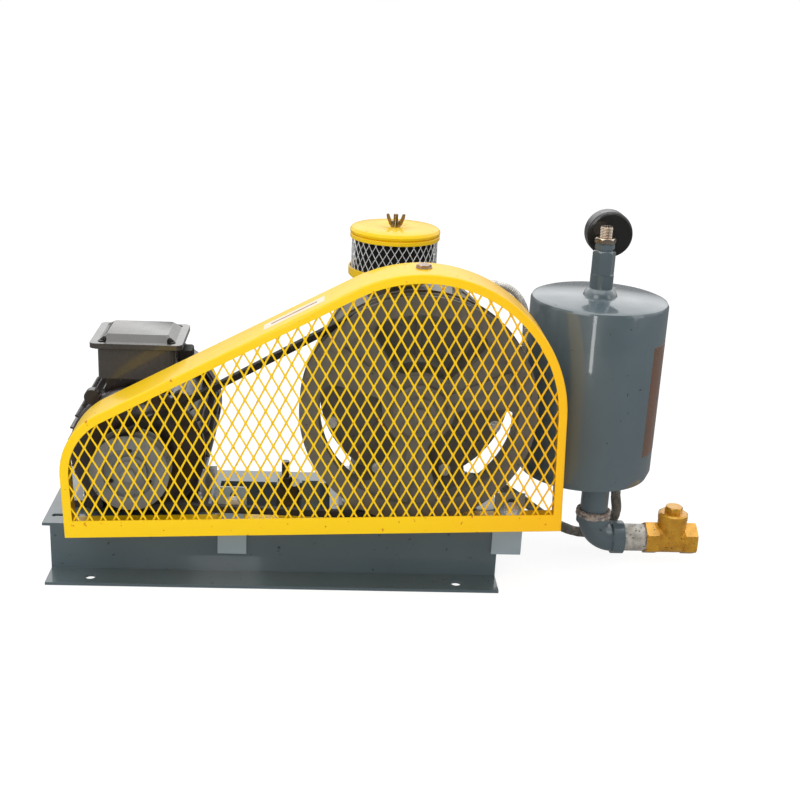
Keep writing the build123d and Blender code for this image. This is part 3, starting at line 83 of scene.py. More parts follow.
def srgb(red: int, green: int, blue: int) -> Colour:
    """Turn a display colour into the linear one that a shader takes.

    Args:
        red: Red from 0 to 255.
        green: Green from 0 to 255.
        blue: Blue from 0 to 255.

    Returns:
        The linear colour.
    """

    def linear(value: int) -> float:
        """Linear share of one channel."""
        share = value / 255
        return share / 12.92 if share <= 0.04045 else ((share + 0.055) / 1.055) ** 2.4

    return linear(red), linear(green), linear(blue)


class Hand(Enum):
    """Which way a helix or a strand leans."""

    LEFT = -1
    RIGHT = 1


class Wiring:
    """Adds nodes to a tree and feeds them."""

    def __init__(self, tree: bpy.types.NodeTree) -> None:
        """Take the tree that the nodes go into."""
        self.tree = tree

    def feed(self, node: bpy.types.Node, feeds: Feeds) -> None:
        """Give each named or numbered input of a node its socket or value."""
        for key, value in feeds.items():
            if isinstance(value, bpy.types.NodeSocket):
                self.tree.links.new(value, node.inputs[key])
            else:
                node.inputs[key].default_value = value

    def add(self, kind: str, feeds: Feeds | None = None, **settings: object) -> bpy.types.Node:
        """Add a node, set its options and feed its inputs.

        Args:
            kind: The node's type name.
            feeds: Socket or value for each input, by name or number.
            settings: The node's own properties.

        Returns:
            The new node.
        """
        node = self.tree.nodes.new(kind)
        for option, value in settings.items():
            setattr(node, option, value)
        self.feed(node, feeds or {})
        return node

    def math(self, operation: str, *values: object, **settings: object) -> bpy.types.NodeSocket:
        """Return the result of one Math node on its values."""
        node = self.add("ShaderNodeMath", dict(enumerate(values)), operation=operation, **settings)
        return node.outputs[0]

    def noise(self, place: bpy.types.NodeSocket, scale: float, detail: float) -> bpy.types.NodeSocket:
        """Return the value of a noise texture."""
        feeds = {"Scale": scale, "Detail": detail, "Vector": place}
        return self.add("ShaderNodeTexNoise", feeds).outputs["Fac"]

    def ramp(self, value: bpy.types.NodeSocket, low: float, high: float, bottom: float = 0.0,
             top: float = 1.0) -> bpy.types.NodeSocket:
        """Stretch a value so that low becomes bottom and high becomes top."""
        return self.add("ShaderNodeMapRange", {"From Min": low, "From Max": high, "To Min": bottom,
                                               "To Max": top, "Value": value}).outputs["Result"]

    def mix(self, share: bpy.types.NodeSocket, under: object, over: object,
            kind: str = "FLOAT") -> bpy.types.NodeSocket:
        """Return over where share is 1, and under where it is 0."""
        return self.add("ShaderNodeMix", {"Factor": share, "A": under, "B": over},
                        data_type=kind).outputs["Result"]


# ---------------------------------------------------------------- finishes
DRIFT_REACH = 0.22            # how far the clouds swing from their middle before they count in full
MARK_LEVEL = 0.74             # noise above this, less the share, becomes a mark
MARK_EDGE = 0.04
SMUDGE_SCALE = 2.7            # smudges are finer than the mottle by this
SMUDGE_RANGE = (0.3, 0.7)
GLOSSIEST = 0.02


@dataclass(frozen=True)
class Finish:
    """A surface with drifting colour, uneven gloss, a fine grain and scattered marks; where set, its colour
    turns along X instead, as painted shade.
    """

    colour: Colour
    tint: Colour
    roughness: float
    metallic: float = 0.0
    coat: float = 0.0
    coat_roughness: float = 0.08
    specular: float = 0.5
    # fade: where set, the tint grows in along X between these two places instead of at random; this is
    # painted shade
    fade: tuple[float, float] | None = None
    mottle: float = 30.0
    mottle_contrast: float = 1.0
    gloss_swing: float = 0.08
    grain: float = 900.0
    grain_depth: float = 0.00003
    stretch: Point = (1.0, 1.0, 1.0)
    mark: Colour = (0.02, 0.018, 0.015)
    mark_share: float = 0.0
    mark_scale: float = 260.0

    def build(self, name: str) -> bpy.types.Material:
        """Make the material's nodes.

        Args:
            name: Name of the material.

        Returns:
            The finished material.
        """
        material = bpy.data.materials.new(name)
        material.use_nodes = True
        wiring = Wiring(material.node_tree)
        place = wiring.add("ShaderNodeTexCoord").outputs["Object"]
        mapped = wiring.add("ShaderNodeMapping", {"Vector": place, "Scale": self.stretch}).outputs["Vector"]
        # Painted shade: along X the colour turns into the deeper tint towards +X.
        if self.fade:
            drift = wiring.ramp(wiring.add("ShaderNodeSeparateXYZ", {0: place}).outputs["X"], *self.fade)
        else:
            reach = DRIFT_REACH / self.mottle_contrast
            drift = wiring.ramp(wiring.noise(mapped, self.mottle, 4.0), 0.5 - reach, 0.5 + reach)
        colour = wiring.mix(drift, (*self.colour, 1.0), (*self.tint, 1.0), "RGBA")
        if self.mark_share > 0:
            level = MARK_LEVEL - self.mark_share
            marked = wiring.ramp(wiring.noise(mapped, self.mark_scale, 2.0), level, level + MARK_EDGE)
            colour = wiring.mix(marked, colour, (*self.mark, 1.0), "RGBA")
        smudge = wiring.noise(mapped, self.mottle * SMUDGE_SCALE, 5.0)
        gloss = wiring.ramp(smudge, *SMUDGE_RANGE, max(GLOSSIEST, self.roughness - self.gloss_swing),
                            min(1.0, self.roughness + self.gloss_swing))
        grit = wiring.noise(mapped, self.grain, 3.0)
        bump = wiring.add("ShaderNodeBump", {"Strength": 1.0, "Distance": self.grain_depth, "Height": grit})
        wiring.feed(material.node_tree.nodes["Principled BSDF"], {
            "Metallic": self.metallic, "Coat Weight": self.coat, "Coat Roughness": self.coat_roughness,
            "Specular IOR Level": self.specular, "Base Color": colour, "Roughness": gloss,
            "Normal": bump.outputs["Normal"]})
        return material


@dataclass(frozen=True)
class ClearGlass(Finish):
    """Thin gauge glass."""

    def build(self, name: str) -> bpy.types.Material:
        """Make the glass material, with the faint smudges of its base finish.

        Args:
            name: Name of the material.

        Returns:
            The finished material.
        """
        material = super().build(name)
        Wiring(material.node_tree).feed(material.node_tree.nodes["Principled BSDF"],
                                        {"Transmission Weight": 1.0, "IOR": 1.05})
        return material


FINISHES: dict[str, Finish] = {
    # Guard yellow: the deeper orange tint comes in towards +X as painted shade on the guard's right-hand
    # side.
    "guard_yellow": Finish(srgb(255, 209, 2), srgb(255, 188, 4), 0.45, specular=0.22, coat=0.45,
                           coat_roughness=0.10, fade=(0.16, 0.40), gloss_swing=0.06, grain=420,
                           grain_depth=0.00004, mark=srgb(214, 132, 8), mark_share=0.035, mark_scale=150),
    "tank_grey": Finish(srgb(86, 101, 108), srgb(79, 93, 99), 0.36, coat=1.0, coat_roughness=0.06, mottle=9.0,
                        grain=260, grain_depth=0.00005, mark=srgb(50, 60, 64), mark_share=0.025,
                        mark_scale=120),
    "bracket_grey": Finish(srgb(158, 174, 184), srgb(144, 160, 170), 0.36, coat=1.0, coat_roughness=0.08,
                           mottle=14.0, grain=260, grain_depth=0.00005),
    "blower_grey": Finish(srgb(112, 108, 98), srgb(96, 92, 82), 0.42, coat=0.35, coat_roughness=0.16,
                          mottle=24, grain=520, grain_depth=0.00016, mark=srgb(66, 62, 55), mark_share=0.05),
    "pulley_grey": Finish(srgb(136, 139, 137), srgb(118, 121, 119), 0.40, coat=0.3, coat_roughness=0.16,
                          mottle=30, grain=520, grain_depth=0.00014, mark=srgb(70, 68, 62), mark_share=0.05),
    "motor_black": Finish(srgb(52, 43, 39), srgb(40, 33, 30), 0.34, coat=0.7, coat_roughness=0.14, mottle=26,
                          grain=520, grain_depth=0.00018, mark=srgb(96, 88, 82), mark_share=0.03),
    "lid_black": Finish(srgb(66, 62, 58), srgb(58, 54, 51), 0.28, coat=1.0, coat_roughness=0.06, mottle=20,
                        grain=300, grain_depth=0.00005),
    "dark_screw": Finish(srgb(60, 58, 56), srgb(44, 42, 40), 0.30, metallic=0.9, mottle=120, grain=1200,
                         grain_depth=0.00004),
    "zinc": Finish(srgb(240, 241, 242), srgb(220, 222, 224), 0.28, metallic=0.30, mottle=90,
                   grain=1500, grain_depth=0.00002, mark=srgb(160, 158, 150), mark_share=0.05),
    # Dull zinc plating with a painted reflection of the yellow filter cap: the yellow-brown colour and tint
    # stand in for the cap mirrored in the stud and wing nut.
    "zinc_with_painted_cap_reflection": Finish(srgb(176, 156, 120), srgb(140, 112, 70), 0.28, metallic=1.0, mottle=130,
                          grain=1500, grain_depth=0.00002, mark=srgb(86, 66, 38), mark_share=0.10),
    "copper_zinc": Finish(srgb(186, 166, 152), srgb(146, 122, 108), 0.24, metallic=0.8, mottle=120,
                          grain=1500, grain_depth=0.00002, mark=srgb(84, 62, 50), mark_share=0.08),
    "steel": Finish(srgb(178, 178, 178), srgb(150, 150, 150), 0.32, metallic=1.0, stretch=(1, 14, 1),
                    grain=1200, grain_depth=0.00001),
    "laminations": Finish(srgb(92, 92, 95), srgb(80, 78, 76), 0.5, metallic=0.8, stretch=(0.02, 1, 0.02),
                          grain=2000, grain_depth=0.0002),
    "rubber": Finish(srgb(30, 28, 27), srgb(38, 35, 33), 0.62, mottle=50, grain=1400, grain_depth=0.00008,
                     mark=srgb(70, 66, 60), mark_share=0.04),
    "brass": Finish(srgb(224, 168, 52), srgb(198, 140, 38), 0.32, metallic=0.42, coat=0.4, mottle=70,
                    mottle_contrast=1.3, grain=900, grain_depth=0.00012, mark=srgb(96, 58, 10),
                    mark_share=0.08, mark_scale=300),
    "galvanised": Finish(srgb(206, 203, 194), srgb(160, 155, 146), 0.42, metallic=0.35, mottle=110,
                         mottle_contrast=1.6, grain=800, grain_depth=0.00012, mark=srgb(84, 78, 70),
                         mark_share=0.11, mark_scale=230),
    "nickel": Finish(srgb(214, 202, 186), srgb(180, 160, 140), 0.22, metallic=1.0, mottle=80,
                     grain=1300, grain_depth=0.00004, mark=srgb(110, 92, 76), mark_share=0.06),
    "foam": Finish(srgb(20, 19, 18), srgb(10, 10, 10), 0.95, mottle=260, mottle_contrast=2.5, grain=700,
                   grain_depth=0.0008),
    "carbon": Finish(srgb(44, 44, 46), srgb(34, 34, 36), 0.5, mottle=40, grain=1600),
    "black_plastic": Finish(srgb(24, 24, 24), srgb(32, 31, 30), 0.45, mottle=40, grain=1300,
                            grain_depth=0.00005),
    "gauge_black": Finish(srgb(22, 21, 20), srgb(28, 26, 25), 0.34, coat=0.4, mottle=40, grain=900,
                          grain_depth=0.00003),
    "dial_white": Finish(srgb(238, 238, 234), srgb(228, 227, 222), 0.5, mottle=30, grain=1500,
                         grain_depth=0.00001),
    "glass": ClearGlass(srgb(250, 252, 252), srgb(244, 247, 248), 0.03, gloss_swing=0.02, grain_depth=0.0),
    "braid": Finish(srgb(222, 220, 214), srgb(176, 172, 164), 0.30, metallic=0.55, mottle=140, grain=2200,
                    grain_depth=0.00004, mark=srgb(80, 76, 70), mark_share=0.08, mark_scale=420),
    "dark_braid": Finish(srgb(164, 160, 152), srgb(124, 120, 112), 0.34, metallic=0.55, mottle=140,
                         grain=2200, grain_depth=0.00004, mark=srgb(60, 56, 50), mark_share=0.10,
                         mark_scale=420),
    "crimp": Finish(srgb(58, 56, 52), srgb(40, 38, 36), 0.40, metallic=0.7, mottle=80, grain=900,
                    grain_depth=0.00008),
    "sealant": Finish(srgb(176, 164, 154), srgb(118, 98, 86), 0.55, mottle=150, mottle_contrast=1.8,
                      grain=600, grain_depth=0.0004, mark=srgb(80, 62, 50), mark_share=0.12, mark_scale=300),
    "aged_foil": Finish(srgb(104, 82, 64), srgb(128, 84, 62), 0.30, metallic=0.3, coat=0.6, mottle=16,
                        mottle_contrast=1.4, grain=500, grain_depth=0.00004, stretch=(1, 1, 0.35),
                        mark=srgb(70, 58, 48), mark_share=0.06, mark_scale=200),
    "bare_label": Finish(srgb(250, 244, 222), srgb(240, 230, 200), 0.35, coat=0.3, mottle=40, grain=800,
                         grain_depth=0.00002),
    "label_line": Finish(srgb(150, 66, 56), srgb(166, 84, 70), 0.5, mottle=60, grain_depth=0.00001),
    "dial_print": Finish(srgb(26, 26, 28), srgb(34, 34, 36), 0.6, grain_depth=0.00001),
}


class Palette:
    """Makes each finish's material once and hands it out."""

    def __init__(self) -> None:
        """Start with no material made."""
        self._made: dict[str, bpy.types.Material] = {}

    def of(self, finish: str) -> bpy.types.Material:
        """Return the material of a finish.

        Args:
            finish: A key of FINISHES.

        Returns:
            The one material of that finish.
        """
        if finish not in self._made:
            self._made[finish] = FINISHES[finish].build(finish)
        return self._made[finish]


# ---------------------------------------------------------------- mesh and node helpers
class Loom(Wiring):
    """Builds one Geometry Nodes tree and weaves a mesh through it."""

    def __init__(self, name: str) -> None:
        """Start an empty tree.

        Args:
            name: Name of the tree.
        """
        super().__init__(bpy.data.node_groups.new(name, "GeometryNodeTree"))
        self._values: dict[str, float | int | bpy.types.Material] = {}
        self.tree.interface.new_socket("Geometry", in_out="INPUT", socket_type="NodeSocketGeometry")
        self.tree.interface.new_socket("Geometry", in_out="OUTPUT", socket_type="NodeSocketGeometry")
        self._entry = self.tree.nodes.new("NodeGroupInput")
        self._exit = self.tree.nodes.new("NodeGroupOutput")

    @property
    def source(self) -> bpy.types.NodeSocket:
        """The geometry that enters the tree."""
        return self._entry.outputs["Geometry"]

    def size(self, name: str, value: float) -> bpy.types.NodeSocket:
        """Add a named number to the tree's inputs.

        Args:
            name: Name of the input.
            value: Its value.

        Returns:
            The socket that gives the number.
        """
        kind = "NodeSocketInt" if isinstance(value, int) else "NodeSocketFloat"
        socket = self.tree.interface.new_socket(name, in_out="INPUT", socket_type=kind)
        self._values[socket.identifier] = value
        return self._entry.outputs[name]

    def vector(self, operation: str, *values: object) -> bpy.types.NodeSocket:
        """Return the vector result of one Vector Math node on its values."""
        return self.add("ShaderNodeVectorMath", dict(enumerate(values)), operation=operation).outputs[0]

    def stretched(self, vector: bpy.types.NodeSocket, scale: bpy.types.NodeSocket) -> bpy.types.NodeSocket:
        """Return a vector times a number."""
        return self.add("ShaderNodeVectorMath", {0: vector, "Scale": scale}, operation="SCALE").outputs[0]

    def sweep(self, curve: bpy.types.NodeSocket, profile: bpy.types.Node,
              scale: object = 1.0) -> bpy.types.NodeSocket:
        """Return a capped profile swept along a curve."""
        return self.add("GeometryNodeCurveToMesh", {"Curve": curve, "Profile Curve": profile.outputs[0],
                                                    "Scale": scale, "Fill Caps": True}).outputs[0]

    def circle(self, resolution: int, radius: object) -> bpy.types.Node:
        """Add a round profile."""
        return self.add("GeometryNodeCurvePrimitiveCircle", {"Resolution": resolution, "Radius": radius})

    def copies(self, curve: bpy.types.NodeSocket, count: bpy.types.NodeSocket) -> bpy.types.Node:
        """Add copies of a curve."""
        feeds = {"Geometry": curve, "Amount": count}
        return self.add("GeometryNodeDuplicateElements", feeds, domain="SPLINE")

    def stepped(self, curve: bpy.types.NodeSocket, step: object) -> bpy.types.NodeSocket:
        """Return a curve with a point at every step of its length."""
        feeds = {"Curve": curve, "Length": step}
        return self.add("GeometryNodeResampleCurve", feeds, mode="LENGTH").outputs[0]

    def upright(self, curve: bpy.types.NodeSocket, mode: str) -> bpy.types.NodeSocket:
        """Return a curve whose profile keeps one way up."""
        return self.add("GeometryNodeSetCurveNormal", {"Curve": curve}, mode=mode).outputs[0]

    def share_of_turn(self, copies: bpy.types.Node, count: bpy.types.NodeSocket) -> bpy.types.NodeSocket:
        """Return the angle at which each copy stands when all of them share one turn."""
        return self.math("DIVIDE", self.math("MULTIPLY", copies.outputs[1], 2 * math.pi), count)

    def weave(self, source: bpy.types.Mesh, geometry: bpy.types.NodeSocket, name: str,
              material: bpy.types.Material, smooth: bool = True) -> bpy.types.Object:
        """Close the tree, run the source mesh through it and keep the plain result.

        Args:
            source: Mesh that enters the tree.
            geometry: Socket with the woven geometry.
            name: Name of the piece.
            material: Its finish.
            smooth: Whether its faces are shaded smooth.

        Returns:
            The piece, a mesh with no modifier, at the origin.
        """
        socket = self.tree.interface.new_socket("Finish", in_out="INPUT", socket_type="NodeSocketMaterial")
        self._values[socket.identifier] = material
        real = self.add("GeometryNodeRealizeInstances", {"Geometry": geometry})
        shade = self.add("GeometryNodeSetShadeSmooth", {"Geometry": real.outputs[0], "Shade Smooth": smooth})
        dressed = self.add("GeometryNodeSetMaterial",
                           {"Geometry": shade.outputs[0], "Material": self._entry.outputs["Finish"]})
        self.tree.links.new(dressed.outputs[0], self._exit.inputs["Geometry"])
        bench = bpy.data.objects.new(f"{name}_bench", source)
        bpy.context.scene.collection.objects.link(bench)
        modifier = bench.modifiers.new("weave", "NODES")
        modifier.node_group = self.tree
        for identifier, value in self._values.items():
            modifier[identifier] = value
        graph = bpy.context.evaluated_depsgraph_get()
        mesh = bpy.data.meshes.new_from_object(bench.evaluated_get(graph))
        mesh.name = name
        if not mesh.materials:
            mesh.materials.append(material)
        bpy.data.objects.remove(bench)
        return link_mesh(mesh, name)


def link_mesh(mesh: bpy.types.Mesh, name: str) -> bpy.types.Object:
    """Put a mesh in the scene as a piece at the origin."""
    piece = bpy.data.objects.new(name, mesh)
    bpy.context.scene.collection.objects.link(piece)
    return piece


def soften(mesh: bpy.types.Mesh, angle: float = 32.0) -> None:
    """Shade a mesh smooth, with edges sharper than an angle in degrees kept crisp."""
    mesh.shade_smooth()
    mesh.set_sharp_from_angle(angle=math.radians(angle))


def merged(mesh: bpy.types.Mesh, name: str, distance: float = 2e-6) -> bpy.types.Mesh:
    """Copy a mesh of loose triangles as one skin, with its flat faces joined.

    Args:
        mesh: The mesh to copy.
        name: Name of the copy.
        distance: Points nearer than this become one.

    Returns:
        The copy.
    """
    skin = bmesh.new()
    skin.from_mesh(mesh)
    bmesh.ops.remove_doubles(skin, verts=skin.verts, dist=distance)
    bmesh.ops.dissolve_limit(skin, angle_limit=math.radians(0.4), verts=skin.verts, edges=skin.edges)
    copy = bpy.data.meshes.new(name)
    skin.to_mesh(copy)
    skin.free()
    for spare in ("custom_normal", "sharp_edge", "sharp_face"):
        if spare in copy.attributes:
            copy.attributes.remove(copy.attributes[spare])
    copy.materials.clear()
    return copy


def round_edges(mesh: bpy.types.Mesh, radius: float, segments: int,
                pick: Callable[[bmesh.types.BMEdge], bool]) -> None:
    """Round the picked edges of a mesh.

    Args:
        mesh: The mesh to change.
        radius: Radius of the round.
        segments: Faces across it.
        pick: Says which edges are rounded.
    """
    skin = bmesh.new()
    skin.from_mesh(mesh)
    edges = [edge for edge in skin.edges if len(edge.link_faces) == 2 and pick(edge)]
    bmesh.ops.bevel(skin, geom=edges, offset=radius, segments=segments, affect="EDGES", profile=0.5,
                    clamp_overlap=True)
    skin.to_mesh(mesh)
    skin.free()
    soften(mesh)


def faces_away(edge: bmesh.types.BMEdge, centre: Vector) -> bool:
    """Whether both faces beside an edge look away from a point, or along the edge's own plane."""
    outward = (edge.verts[0].co + edge.verts[1].co) / 2 - centre
    return sum((face.normal for face in edge.link_faces), Vector()).dot(outward) > 0


def solid(points: list[Point], faces: list[tuple[int, ...]], name: str) -> bpy.types.Mesh:
    """Make a closed mesh with its faces pointing outwards."""
    mesh = bpy.data.meshes.new(name)
    mesh.from_pydata(points, [], faces)
    skin = bmesh.new()
    skin.from_mesh(mesh)
    bmesh.ops.recalc_face_normals(skin, faces=skin.faces)
    skin.to_mesh(mesh)
    skin.free()
    return mesh


def lathe(profile: list[tuple[float, float]], name: str, steps: int = 96) -> bpy.types.Mesh:
    """Turn a closed profile round Z.

    Args:
        profile: (radius, z) points of a closed outline that stays off the axis.
        name: Name of the mesh.
        steps: Faces round the turn.

    Returns:
        The closed ring.
    """
    points = [(r * math.cos(a), r * math.sin(a), z)
              for a in (2 * math.pi * step / steps for step in range(steps)) for r, z in profile]
    count = len(profile)
    faces = []
    for step in range(steps):
        for index in range(count):
            after = (index + 1) % count
            here, there = step * count, ((step + 1) % steps) * count
            faces.append((here + index, there + index, there + after, here + after))
    return solid(points, faces, name)


@dataclass
class Workshop:
    """The frame, the palette and what every sub-assembly does to its pieces."""

    frame: dict
    palette: Palette = field(default_factory=Palette)

    def __post_init__(self) -> None:
        """Look up each node's body and material slot."""
        record = self.frame["record"]
        bodies = record["behaviour"]["bodies"]
        self.body_of = {node: body for body, nodes in bodies.items() for node in nodes}
        self.slot_of = {part["node"]: part["material_slot"] for part in record["subparts"]}

    def dress(self, node: str, finish: str) -> None:
        """Give a CAD node that stays in view its finish."""
        piece = self.frame["nodes"][node]
        piece.data.materials.clear()
        piece.data.materials.append(self.palette.of(finish))
        LOG.info("dressed %s in %s", node, finish)

    def refine(self, node: str, finish: str, edge: float = 0.0, segments: int = 2) -> bpy.types.Object:
        """Stand a smooth-shaded copy with broken edges in a CAD node's place.

        Args:
            node: The CAD node.
            finish: The copy's finish.
            edge: Width of the broken edges, 0 for none.
            segments: Faces across each broken edge.

        Returns:
            The copy.
        """
        mesh = merged(self.frame["nodes"][node].data, f"{node}_skin")
        soften(mesh)
        mesh.materials.append(self.palette.of(finish))
        piece = link_mesh(mesh, f"{node}_finished")
        if edge > 0:
            bevel = piece.modifiers.new("edge", "BEVEL")
            bevel.width = edge
            bevel.segments = segments
            bevel.limit_method = "ANGLE"
            bevel.angle_limit = math.radians(40)
            bevel.use_clamp_overlap = True
            bevel.harden_normals = True
        return self.settle(piece, self.body_of[node], self.slot_of[node], node)

    def settle(self, piece: bpy.types.Object, body: str, slot: str, *nodes: str) -> bpy.types.Object:
        """Let a piece ride on its body and hide the nodes that it stands for.

        Args:
            piece: The finished piece.
            body: The CAD body that it rides on.
            slot: The record's material slot; not used.
            nodes: The CAD nodes that it replaces.

        Returns:
            The piece.
        """
        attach(piece, body)
        if nodes:
            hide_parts(*nodes)
        LOG.info("built %s on %s", piece.name, body)
        return piece

    def place(self, mesh: bpy.types.Mesh, name: str, finish: str, slot: str,
              body: str = STATIC) -> bpy.types.Object:
        """Finish a mesh of the scene's own and settle it.

        Args:
            mesh: The mesh, in its place.
            name: Name of the piece.
            finish: Its finish.
            slot: The record's material slot.
            body: The CAD body that it rides on.

        Returns:
            The piece.
        """
        soften(mesh)
        mesh.materials.clear()
        mesh.materials.append(self.palette.of(finish))
        return self.settle(link_mesh(mesh, name), body, slot)


@dataclass
class SubAssembly:
    """A group of pieces that the workshop finishes together."""

    shop: Workshop
    refined: dict[str, tuple[str, float]] = field(default_factory=dict)
    dressed: dict[str, str] = field(default_factory=dict)
    pieces: dict[str, bpy.types.Object] = field(default_factory=dict)

    def build(self) -> None:
        """Finish every CAD node of the group, then add what is its own."""
        for node, (finish, edge) in self.refined.items():
            self.pieces[node] = self.shop.refine(node, finish, edge * MM)
        for node, finish in self.dressed.items():
            self.shop.dress(node, finish)
        self.detail()

    def detail(self) -> None:
        """Add the pieces that only this group has."""


# ---------------------------------------------------------------- weld beads
@dataclass(frozen=True)
class Bead:
    """A ring of overlapping ripples, such as a weld or squeezed-out sealant."""

    name: str
    centre: Point
    radius: float
    ripple: float
    along_x: bool = False
    unevenness: float = 0.15
    seed: int = 7

    def lay(self, shop: Workshop, finish: str, slot: str) -> bpy.types.Object:
        """Lay the ring.

        Args:
            shop: The workshop.
            finish: Its finish.
            slot: The record's material slot.

        Returns:
            The piece.
        """
        loom = Loom(self.name)
        ring_radius = loom.size("Ring Radius", self.radius)
        ripple = loom.size("Ripple", self.ripple)
        count = loom.size("Ripples", int(2 * math.pi * self.radius / (self.ripple * 0.5)))
        ring = loom.add("GeometryNodeMeshCircle", {"Vertices": count, "Radius": ring_radius})
        ball = loom.add("GeometryNodeMeshIcoSphere", {"Radius": loom.math("MULTIPLY", ripple, 0.5),
                                                      "Subdivisions": 2})
        swing = loom.add("FunctionNodeRandomValue", {2: 1 - self.unevenness, 3: 1 + self.unevenness,
                                                     "Seed": self.seed}, data_type="FLOAT")
        beads = loom.add("GeometryNodeInstanceOnPoints",
                         {"Points": ring.outputs[0], "Instance": ball.outputs[0], "Scale": swing.outputs[1]})
        turn = (0.0, math.pi / 2, 0.0) if self.along_x else (0.0, 0.0, 0.0)
        put = loom.add("GeometryNodeTransform",
                       {"Geometry": beads.outputs[0], "Translation": self.centre, "Rotation": turn})
        seed = bpy.data.meshes.new(f"{self.name}_seed")
        return shop.settle(loom.weave(seed, put.outputs[0], self.name, shop.palette.of(finish)), STATIC, slot)


# ---------------------------------------------------------------- base
@dataclass
class BaseFrame(SubAssembly):
    """Folded base with the plates that carry the guard and the belt's tension clamp."""

    def __post_init__(self) -> None:
        """Name the group's nodes and their finishes."""
        self.refined = {"base_frame": ("tank_grey", 0.8), "guard_brackets": ("bracket_grey", 0.5),
                        "tension_clamp": ("motor_black", 0.5)}


